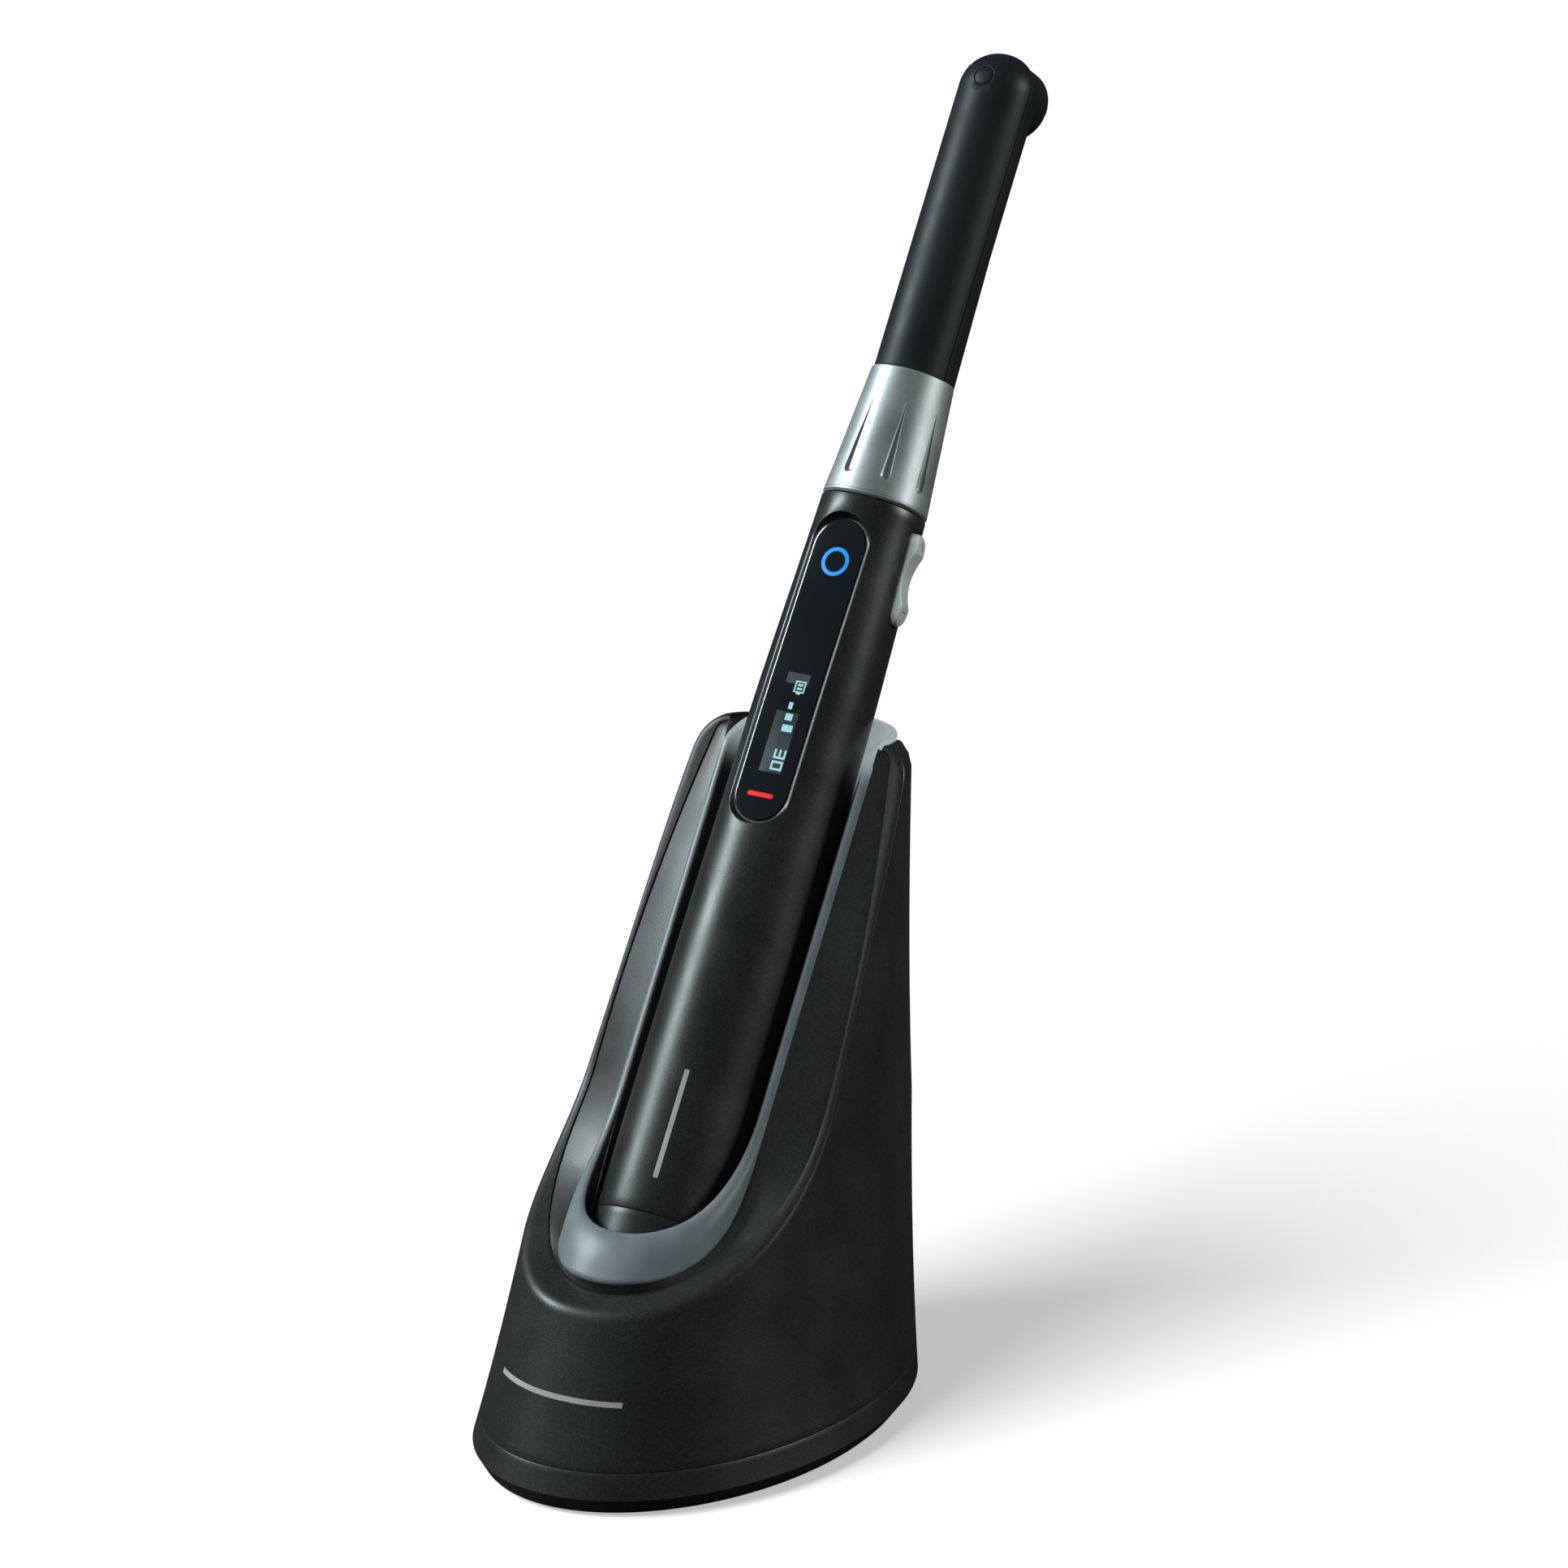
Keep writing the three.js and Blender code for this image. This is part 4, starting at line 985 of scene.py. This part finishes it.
def build_lens():
    """The steel ring round the lens, and the domed lens."""
    face = lambda a, b, y: wand(a, y, HEAD + b)
    ring = ((4.75, 6.4), (4.75, 7.3), (4.85, 7.45), (5.1, 7.55), (6.1, 7.62), (6.6, 7.55), (6.75, 7.4),
            (6.75, 6.6))
    bm = bmesh.new()
    turned(bm, ring, place=face)
    piece("lens_bezel", bm, "neck", "steel", ["lens_ring"])
    top = 7.15
    dome = [(0.01, top)] + [(r, top - 0.028 * r * r) for r in steps(0.6, 4.9, 8)]
    dome += [(4.95, 5.6), (4.9, 4.5), (0.01, 4.5)]
    bm = bmesh.new()
    turned(bm, dome, place=face, sides=64)
    piece("lens_dome", bm, "neck", "lens_glass", ["lens"])


# ---- dock ----
FRONT_ROUNDNESS, BACK_ROUNDNESS = 0.4, 0.6  # how far the plan is squarer than an ellipse
SQUARE_HEIGHT = 60  # height at which it is fully so
DOCK_HALF, DOCK_TAPER = 25.9, 0.016  # half-width, and how much of it goes with height
DOCK_SPREAD, SPREAD_HEIGHT = 12.5, 50  # extra half-width at the foot, and how fast it fades upwards
DOCK_BACK, BACK_HOLLOW, HOLLOW_HEIGHT = 56, 0.8, 60
DOCK_FRONT, FRONT_LEAN = -57.6, 0.42


def dock_half(z):
    """Half-width, which spreads towards the foot."""
    return DOCK_HALF - DOCK_TAPER * z + DOCK_SPREAD * exp(-z / SPREAD_HEIGHT)


def dock_back(z):
    """Place of the back, which is a little hollow in the middle of its height."""
    return DOCK_BACK + BACK_HOLLOW * ((z - HOLLOW_HEIGHT) / HOLLOW_HEIGHT) ** 2


def dock_front(z):
    """Place of the front, which leans back."""
    return DOCK_FRONT + FRONT_LEAN * z


def signed_power(value, power):
    return copysign(abs(value) ** power, value)


def dock_point(turn, z, inset=0.0):
    """A point of the dock's outside, in millimetres, moved inwards by an inset. Turn 0 is the front."""
    half = dock_half(z) - inset
    back = dock_back(z) - inset
    front = dock_front(z) + inset
    roundness = FRONT_ROUNDNESS if cos(turn) > 0 else BACK_ROUNDNESS
    power = 2 / (2 + roundness * min(1.0, z / SQUARE_HEIGHT))
    x = half * signed_power(sin(turn), power)
    y = (back + front) / 2 - (back - front) / 2 * signed_power(cos(turn), power)
    return Vector((x, y, z))


RIM_STRAIGHT = 36  # height above which the rim runs straight
RIM_DEPTH, RIM_LEAN = 3.6, 0.053  # depth there, and how much it falls with height
RIM_BEND, RIM_BEND_HEIGHT, RIM_BEND_POWER = 23.1, 50.6, 1.8  # the bend below it
CHANNEL_GAP = 0.3  # between the sleeve and the channel in the dock's top


def rim_depth(s):
    """Depth of the shell's front edge behind the wand's axis. It bends forward towards the foot."""
    above = max(0.0, s - RIM_STRAIGHT)
    below = max(0.0, RIM_STRAIGHT - s) / RIM_BEND_HEIGHT
    return RIM_DEPTH - RIM_LEAN * above - RIM_BEND * below ** RIM_BEND_POWER


def is_cut(point):
    """What cuts the dock's outside away at a point: the scoop, the wand's channel, or nothing."""
    x, y, s = to_wand(point)
    if y < rim_depth(s):
        return "scoop"
    if s > 0 and hypot(x, y - CRADLE_Y) < LINER_OUT + CHANNEL_GAP:
        return "channel"
    return None


def dock_path(turn):
    """The dock's outside along one column, up, round its top edge and inwards, until it is cut."""
    shoulder = DOCK_TOP - DOCK_ROUND
    path = [dock_point(turn, z) for z in steps(SKIRT_TOP, shoulder, 150)]
    for bend in steps(0, QUARTER_TURN, 24)[1:]:
        rise = DOCK_ROUND * sin(bend)
        path.append(dock_point(turn, shoulder + rise, DOCK_ROUND * (1 - cos(bend))))
    middle = Vector((0, DOCK_MIDDLE, path[-1].z))
    path += [path[-1].lerp(middle, share) for share in steps(0, 1, 60)[1:]]
    for k, point in enumerate(path):
        cut = is_cut(point)
        if cut:
            low, high = path[k - 1], point
            for _ in range(20):
                half = (low + high) / 2
                low, high = (low, half) if is_cut(half) else (half, high)
            return path[:k] + [low], cut
    return path, None


def along_path(path, wanted):
    """Points at wanted distances along a path."""
    lengths = [0.0]
    for a, b in zip(path, path[1:]):
        lengths.append(lengths[-1] + (b - a).length)
    found = []
    k = 0
    for want in wanted:
        while k < len(lengths) - 2 and lengths[k + 1] < want:
            k += 1
        gap = lengths[k + 1] - lengths[k] or 1.0
        found.append(path[k].lerp(path[k + 1], (want - lengths[k]) / gap))
    return found


FACE_FOOT = -10.0  # lowest place of its outer edge
FACE_BEND = 28  # where the outer edge's curved foot ends
FACE_HALF = 26.3
FACE_NARROWING = 0.00128  # loss of half-width, times the height's square
FACE_CORNER = 2.6  # rounding of the two top corners
FACE_SWELL = 0.08  # rise of the face's middle between its two edges
FACE_WALL = 1.2
FACE_TUCK = 0.3  # how far the face runs in under the sleeve
CRADLE_R = LINER_OUT - FACE_TUCK
CRADLE_TURN = radians(90)
CRADLE_FOOT = -7.4  # lowest place of the joint between face and sleeve
CRADLE_BEND = 22  # where its curved foot ends
RIM_ROUND = 1.7  # rounding between the dock's outside and the face
RIM_WALL = 2.2  # depth to which the rim folds down behind the face


def face_half(s):
    """Half-width of the face, which narrows more and more towards the top."""
    return FACE_HALF - FACE_NARROWING * max(0.0, s - RIM_STRAIGHT) ** 2


def face_edge():
    """Right half of the face panel's outer edge as (x, s), from its foot to its top by the sleeve."""
    edge = [(FACE_HALF * sin(t), FACE_BEND - (FACE_BEND - FACE_FOOT) * cos(t))
            for t in steps(0, QUARTER_TURN, 40)]
    edge += [(face_half(s), s) for s in steps(FACE_BEND + 1.5, FACE_TOP, 40)]
    x0 = edge[-1][0] - FACE_CORNER
    edge += [(x0 + FACE_CORNER * cos(t), FACE_TOP + FACE_CORNER * sin(t))
             for t in steps(0.15, QUARTER_TURN, 8)]
    return edge


def cradle_height(turn):
    """Height of the joint between face and sleeve at a turn from the front."""
    share = min(1.0, turn / CRADLE_TURN)
    return CRADLE_BEND - (CRADLE_BEND - CRADLE_FOOT) * sqrt(1 - share ** 2)


def cradle_edge():
    """Right half of the face panel's inner edge, just inside the sleeve, as (x, y, s)."""
    edge = [(CRADLE_R * sin(turn), CRADLE_Y - CRADLE_R * cos(turn), cradle_height(turn))
            for turn in steps(0, CRADLE_TURN, 40)]
    return edge + [(CRADLE_R, CRADLE_Y, s) for s in steps(CRADLE_BEND + 1, FACE_TOP + FACE_CORNER, 30)]


def resample(edge, count):
    """Evenly spaced points along a path."""
    path = [Vector((*point, 0, 0)[:3]) for point in edge]
    total = sum((b - a).length for a, b in zip(path, path[1:]))
    return along_path(path, steps(0, total, count))


def nearest_on(path, point):
    """The point of a path nearest to a point."""
    best = None
    for a, b in zip(path, path[1:]):
        run = b - a
        share = min(1.0, max(0.0, (point - a).dot(run) / run.length_squared))
        found = a + run * share
        gap = (found - point).length
        if best is None or gap < best[0]:
            best = (gap, found)
    return best[1]


def length_of(path):
    return sum((b - a).length for a, b in zip(path, path[1:]))


def scoop_rim(corner, edge):
    """The rim's surface from a corner of the dock's outside to the face, and down behind the face."""
    on_rim = lambda x, s, sink=0.0: wand(x, rim_depth(s) + sink, s) / MM
    x, _, s = to_wand(corner)
    near = nearest_on(edge, Vector((abs(x), s, 0)))
    end = (copysign(near.x, x), near.y)
    spot = lambda k: on_rim(x + (end[0] - x) * k, s + (end[1] - s) * k)
    return spot, [spot(0.985), on_rim(*end, 0.12), on_rim(*end, RIM_WALL)]


def channel_rim(corner):
    """The wall from a corner of the dock's top down into the wand's channel."""
    end = corner - AXIS * 4
    return lambda k: corner.lerp(end, k), [end, end - AXIS * 0.5, end - AXIS]


def shell_column(turn, edge):
    """One column of the dock's shell, from its foot up, over the rounded rim and inwards."""
    path, cut_by = dock_path(turn)
    corner = path[-1]
    column = along_path(path, [0.0, FINE, 0.25] + steps(1.5, max(3.0, length_of(path) - RIM_ROUND), 46))
    inwards = Vector((0, DOCK_MIDDLE, corner.z)) - corner
    inwards.z = 0
    inwards.normalize()
    column[0] = column[0] + inwards * 0.16
    column[1] = column[1] + inwards * FINE
    start = column[-1]
    spot, end = scoop_rim(corner, edge) if cut_by == "scoop" else channel_rim(corner)
    share = min(0.7, RIM_ROUND / max((spot(1.0) - corner).length, 1e-3))
    after = spot(share)
    for k in steps(0, 1, 5)[1:]:
        column.append(start * (1 - k) ** 2 + corner * 2 * k * (1 - k) + after * k * k)
    return column + [spot(share + (1 - share) * k) for k in steps(0, 1, 6)[1:-1]] + end


def build_dock_shell():
    """The dock's outside, cut by the scoop in front and by the wand's channel at the top."""
    inside = LINER_OUT - 1.5
    edge = resample(face_edge() + [(inside, FACE_TOP + FACE_CORNER), (inside, 130.0)], 200)
    columns = [shell_column(turn, edge) for turn in turns_round(288)]
    bm = bmesh.new()
    grid(bm, [[point * MM for point in row] for row in zip(*columns)], closed=True)
    foot = [e for e in open_edges(bm) if all(abs(v.co.z / MM - SKIRT_TOP) < 0.05 for v in e.verts)]
    fold(bm, foot, lambda co: (Vector((0, 0, co.z)) - co).normalized() * 2 * MM)
    piece("dock_body", bm, "dock", "dock_plastic", ["dock_shell"], crease=40)


def build_face_panel():
    """The U-shaped face round the sleeve, ruled from its outer to its inner edge."""
    count = 150
    outer = resample(face_edge(), count)
    inner = resample(cradle_edge(), count)
    columns = []
    for side, k in [(-1, k) for k in range(count, 0, -1)] + [(1, k) for k in range(count + 1)]:
        start = Vector((outer[k].x, rim_depth(outer[k].y) + FACE_SINK, outer[k].y))
        column = []
        for share in steps(0, 1, 12):
            x, y, s = start.lerp(inner[k], share)
            column.append(wand(side * x, y - FACE_SWELL * sin(pi * share), s))
        columns.append(column)
    bm = bmesh.new()
    grid(bm, columns)
    turn_in(bm, lambda co: BEHIND * FACE_WALL * MM)
    piece("dock_face", bm, "dock", "dock_plastic", ["dock_face_panel"], LOOKS["face_satin"], crease=40)


def build_skirt():
    """The tray's visible side, with its rounded lower edge and flat bottom."""
    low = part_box("base_tray")[0].z / MM
    top = SKIRT_TOP - SEAM
    bend = 3.2
    levels = [(low, bend + 4), (low, bend)]
    levels += [(low + bend * sin(t), bend * (1 - sin(t)) * 0.95)
               for t in steps(0.12, QUARTER_TURN, 8)]
    levels += [(z, 0.0) for z in steps(low + bend + 0.5, top - 0.25, 5)]
    levels += [(top - FINE, FINE), (top, 0.16), (top, 2.0)]
    bm = bmesh.new()
    made = grid(bm, [[dock_point(t, z, inset) * MM for t in turns_round(240)] for z, inset in levels],
                closed=True)
    bm.faces.new(made[0])
    piece("base_skirt", bm, "dock", "dock_plastic", ["base_tray"], crease=40)


# ---- silicone liner ----
LIP_BEND = 34  # where the lip runs straight up the side
LIP_FOOT_IN = 2.4
LIP_FOOT_OUT = -5.0
SIDE_TURN_IN = radians(87)  # from the front to the lip's straight side
SIDE_TURN_OUT = radians(92)
LIP_EDGE = 0.45  # rounding of the lip's inner edge
LINER_TUCK = 1.0  # rounding that leads the foot in behind the face
LINER_THINNING = 0.9  # the sleeve's wall is thinner higher up
LINER_SHOULDER = 104  # where the side edges start to round over at the top
LINER_BACK_TURN = radians(165)
LINER_CREST = LINER_TOP + 2.5  # highest place, at the back
LINER_FLARE = 0.6  # spread of the sleeve's mouth
EAR_PAINTED_GLOW = 0.5  # painted glow that stands for daylight through the thin ears
LINER_SKIRT = -6.0  # where the outer wall ends behind the dock's shell
LIP_COLUMNS = 40
WALL_ROWS = 12
TUCK_ROWS = 6
SIDE_ROWS = 40
MOUTH_COLUMNS = 28


def lip_line(foot, side):
    """Half of the sleeve's edge as (turn, height), from the foot's middle to the back's middle."""
    line = [(side * sin(bend), LIP_BEND - (LIP_BEND - foot) * cos(bend))
            for bend in steps(0, QUARTER_TURN, LIP_COLUMNS)]
    line += [(side, s) for s in steps(LIP_BEND, LINER_SHOULDER, SIDE_ROWS)[1:]]
    for bend in steps(0, QUARTER_TURN, MOUTH_COLUMNS)[1:]:
        rise = (LINER_CREST - LINER_SHOULDER) * sin(bend)
        line.append((side + (LINER_BACK_TURN - side) * (1 - cos(bend)) ** 0.7, LINER_SHOULDER + rise))
    return line + [(turn, LINER_CREST) for turn in steps(LINER_BACK_TURN, pi, 8)[1:]]


def liner_point(radius, turn, s, side):
    """A point of the sleeve, whose mouth spreads outwards."""
    radius += LINER_FLARE * smooth((s - LINER_SHOULDER) / (LINER_TOP - LINER_SHOULDER)) ** 1.5
    return wand(side * radius * sin(turn), CRADLE_Y - radius * cos(turn), s)


def inner_radius(s):
    """The sleeve's bore, which widens over its foot."""
    return LINER_IN + LINER_THINNING * smooth(s / LIP_BEND)


def lip_row(inner, outer, k):
    """Points over the lip at one place along it, as (radius, turn, height), from inside to outside."""
    (turn_a, s_a), (turn_b, s_b) = inner[k], outer[k]
    low = inner[max(0, k - 1)]
    high = inner[min(len(inner) - 1, k + 1)]
    run = Vector(((high[0] - low[0]) * LINER_IN, high[1] - low[1])).normalized()
    start = inner_radius(s_a)
    width = LINER_OUT - start - LIP_EDGE
    row = []
    for bend in steps(0, QUARTER_TURN, 5):
        drop = LIP_EDGE * (1 - sin(bend))
        row.append((start + LIP_EDGE * (1 - cos(bend)), turn_a + run.y * drop / LINER_IN,
                    s_a - run.x * drop))
    for bend in steps(0, QUARTER_TURN, 12)[1:]:
        share = 1 - cos(bend)
        row.append((start + LIP_EDGE + width * sin(bend), turn_a + (turn_b - turn_a) * share,
                    s_a + (s_b - s_a) * share))
    return row


def with_walls(row):
    """A row over the lip's foot with the walls inside and outside it. The outer one ends behind the face."""
    _, turn, top = row[0]
    inside = [(inner_radius(s), turn, s) for s in steps(LINER_FLOOR, top, WALL_ROWS)[:-1]]
    _, turn, top = row[-1]
    end = cradle_height(turn)
    outside = [(LINER_OUT, turn, s) for s in steps(top, end, WALL_ROWS - TUCK_ROWS)[1:]]
    outside += [(LINER_OUT - LINER_TUCK * (1 - cos(bend)), turn, end - LINER_TUCK * sin(bend))
                for bend in steps(0, QUARTER_TURN, TUCK_ROWS)[1:]]
    return inside + row + outside


def add_mouth_wall(bm, line, radius_at, low, side):
    """The inner or outer wall of one half of the sleeve's back, below its mouth."""
    wall = []
    for turn, top in line[LIP_COLUMNS + SIDE_ROWS:]:
        levels = steps(low, LIP_BEND, WALL_ROWS) + steps(LIP_BEND, top, SIDE_ROWS)[1:]
        wall.append([liner_point(radius_at(s), turn, s, side) for s in levels])
    grid(bm, wall)


def build_liner():
    """The silicone sleeve with its lip, walls and floor. Its thin ears get a painted glow for the daylight that
    comes through them.
    """
    inner = lip_line(LIP_FOOT_IN, SIDE_TURN_IN)
    outer = lip_line(LIP_FOOT_OUT, SIDE_TURN_OUT)
    rows = [lip_row(inner, outer, k) for k in range(len(inner))]
    foot = [with_walls(row) for row in rows[:LIP_COLUMNS + 1]]
    bm = bmesh.new()
    for side in (-1, 1):
        for part in (foot, rows[LIP_COLUMNS:]):
            grid(bm, [[liner_point(*spot, side) for spot in row] for row in part])
        add_mouth_wall(bm, inner, inner_radius, LINER_FLOOR, side)
        add_mouth_wall(bm, outer, lambda s: LINER_OUT, LINER_SKIRT, side)
    turned(bm, [(r, LINER_FLOOR) for r in (1.2, 5, 9, 12, LINER_IN)], sides=64, y=CRADLE_Y)
    # painted glow that rises towards the top of the sleeve, for daylight through the thin ears
    layer = bm.verts.layers.float.new("glow")
    for vert in bm.verts:
        vert[layer] = EAR_PAINTED_GLOW * smooth((to_wand(vert.co / MM)[2] - LINER_SHOULDER + 4) / 9)
    piece("cradle_sleeve", bm, "dock", "silicone", ["cradle_liner"], crease=60)


# ---- plain marks in place of lettering ----
PRINT_TURN, PRINT_WIDTH = radians(12), 0.08  # the handle's stripe: where it starts, and its width
PRINT_FOOT, PRINT_TOP = 15, 37
DOCK_PRINT_TURNS = (radians(-30), radians(19))
DOCK_PRINT_FOOT, DOCK_PRINT_TOP = 20.8, 21.8
HANDLE_PRINT_LIFT, DOCK_PRINT_LIFT = 0.02, 0.03  # off the surface


def build_marks():
    """A plain printed stripe on the handle and one on the dock."""
    def on_handle(turn, s):
        radius = handle_radius(s) + HANDLE_PRINT_LIFT
        return wand(radius * sin(turn), -radius * cos(turn), s)

    def on_dock(turn, z):
        spot = dock_point(turn, z)
        return (spot + (spot - Vector((0, 0, z))).normalized() * DOCK_PRINT_LIFT) * MM

    turns = steps(PRINT_TURN, PRINT_TURN + PRINT_WIDTH, 3)
    bm = bmesh.new()
    grid(bm, [[on_handle(turn, s) for turn in turns] for s in steps(PRINT_FOOT, PRINT_TOP, 12)])
    piece("handle_stripe", bm, "wand", "handle_coat", finish=LOOKS["pale_print"])
    levels = steps(DOCK_PRINT_FOOT, DOCK_PRINT_TOP, 3)
    bm = bmesh.new()
    grid(bm, [[on_dock(turn, z) for z in levels] for turn in steps(*DOCK_PRINT_TURNS, 30)])
    piece("dock_stripe", bm, "dock", "dock_plastic", finish=LOOKS["pale_print"])


# ---- room, lights and camera ----
FLOOR_HALF, FLOOR_Z = 8.0, -0.0002  # in metres
FLOOR_LIFT = 0.48  # emission that brings the floor up to white in the picture


def two_tone(owner, seen, hidden_color, seen_color):
    """A color that differs between what the camera sees and what lights the object."""
    colors = {"Factor": seen, 6: rgb(hidden_color), 7: rgb(seen_color)}
    return add_node(owner, "ShaderNodeMix", colors, data_type="RGBA").outputs[2]


def build_floor():
    """A white floor for the camera. It is dark for the light that it throws back on the object."""
    bm = bmesh.new()
    sides = (-FLOOR_HALF, FLOOR_HALF)
    grid(bm, [[(x, y, FLOOR_Z) for x in sides] for y in sides])
    mesh = bpy.data.meshes.new("floor")
    bm.to_mesh(mesh)
    bm.free()
    material = bpy.data.materials.new("floor_white")
    material.use_nodes = True
    shader = shader_of(material)
    seen = add_node(material, "ShaderNodeLightPath").outputs["Is Camera Ray"]
    tone = two_tone(material, seen, (0.07, 0.07, 0.07), (0.93, 0.93, 0.93))
    lift = add_node(material, "ShaderNodeMath", {0: seen, 1: FLOOR_LIFT}, operation="MULTIPLY")
    material.node_tree.links.new(tone, shader.inputs["Base Color"])
    material.node_tree.links.new(lift.outputs["Value"], shader.inputs["Emission Strength"])
    shader.inputs["Emission Color"].default_value = rgb((1.0, 1.0, 1.0))
    shader.inputs["Roughness"].default_value = 0.9
    shader.inputs["Specular IOR Level"].default_value = 0.0
    mesh.materials.append(material)
    floor = in_scene("floor", mesh)
    return floor


def build_world():
    """White behind the object and through glass, nearly black for its light and reflections."""
    world = bpy.data.worlds.new("studio")
    bpy.context.scene.world = world
    world.use_nodes = True
    rays = add_node(world, "ShaderNodeLightPath").outputs
    seen = add_node(world, "ShaderNodeMath", {0: rays["Is Camera Ray"], 1: rays["Is Transmission Ray"]},
                    operation="MAXIMUM").outputs["Value"]
    tone = two_tone(world, seen, (0.06, 0.065, 0.07), (1.0, 1.0, 1.0))
    world.node_tree.links.new(tone, world.node_tree.nodes["Background"].inputs["Color"])


CAMERA_TURN = radians(31.2)
CAMERA_RISE = radians(19.2)
CAMERA_DISTANCE = 2.5
SENSOR_WIDTH, FOCAL_LENGTH = 36, 293.9
TARGET = Vector((-0.00155, 0.03603, 0.12096))
SUN_DISTANCE, BOX_DISTANCE = 1.6, 1.5
SUN_SPREAD = radians(35)
BOX_SIZE = (0.35, 0.5)


def direction(turn, rise):
    """From the object towards a place round it. Turn 0 is the front and 90 degrees is the right."""
    return Vector((sin(turn) * cos(rise), -cos(turn) * cos(rise), sin(rise)))


def aimed(made, turn, rise, distance):
    """Put a light or camera round the object and point it at the object's middle."""
    towards = direction(turn, rise)
    made.location = TARGET + towards * distance
    made.rotation_mode = "QUATERNION"
    made.rotation_quaternion = towards.to_track_quat("Z", "Y")
    return made


def build_light(name, kind, turn, rise, energy, color):
    """A soft sun or a box light. Its turn and rise are in degrees, the turn counted from the camera's."""
    light = bpy.data.lights.new(name, kind)
    light.energy = energy
    light.color = color
    if kind == "AREA":
        light.shape = "RECTANGLE"
        light.size, light.size_y = BOX_SIZE
    else:
        light.angle = SUN_SPREAD
    distance = BOX_DISTANCE if kind == "AREA" else SUN_DISTANCE
    return aimed(in_scene(name, light), CAMERA_TURN + radians(turn), radians(rise), distance)


def build_camera():
    camera = bpy.data.cameras.new("camera")
    camera.sensor_width = SENSOR_WIDTH
    camera.lens = FOCAL_LENGTH
    camera.clip_end = 50
    bpy.context.scene.camera = aimed(in_scene("camera", camera), CAMERA_TURN, CAMERA_RISE, CAMERA_DISTANCE)


def build_studio():
    """Floor, world, lights and camera. The box lights shine on the object only."""
    floor = build_floor()
    build_world()
    object_only = bpy.data.collections.new("object_only")
    object_only.objects.link(floor)
    object_only.collection_objects[0].light_linking.link_state = "EXCLUDE"
    sun = build_light("key_sun", "SUN", -55, 42, 2.7, (0.97, 1.0, 1.0))
    sun.visible_glossy = False
    left = build_light("left_box", "AREA", -98, 32, 29, (0.88, 0.98, 1.0))
    right = build_light("right_box", "AREA", 84, 24, 16, (0.92, 1.0, 0.96))
    for box in (left, right):
        box.light_linking.receiver_collection = object_only
    build_camera()
    bpy.context.scene.view_settings.view_transform = "Standard"


dress_cad_nodes()
build_handle()
build_end_cap()
build_window()
build_ring()
build_status_bar()
build_screen()
build_rocker()
build_collar()
build_neck_front()
build_neck_back()
build_lens()
build_dock_shell()
build_face_panel()
build_skirt()
build_liner()
build_marks()
build_studio()
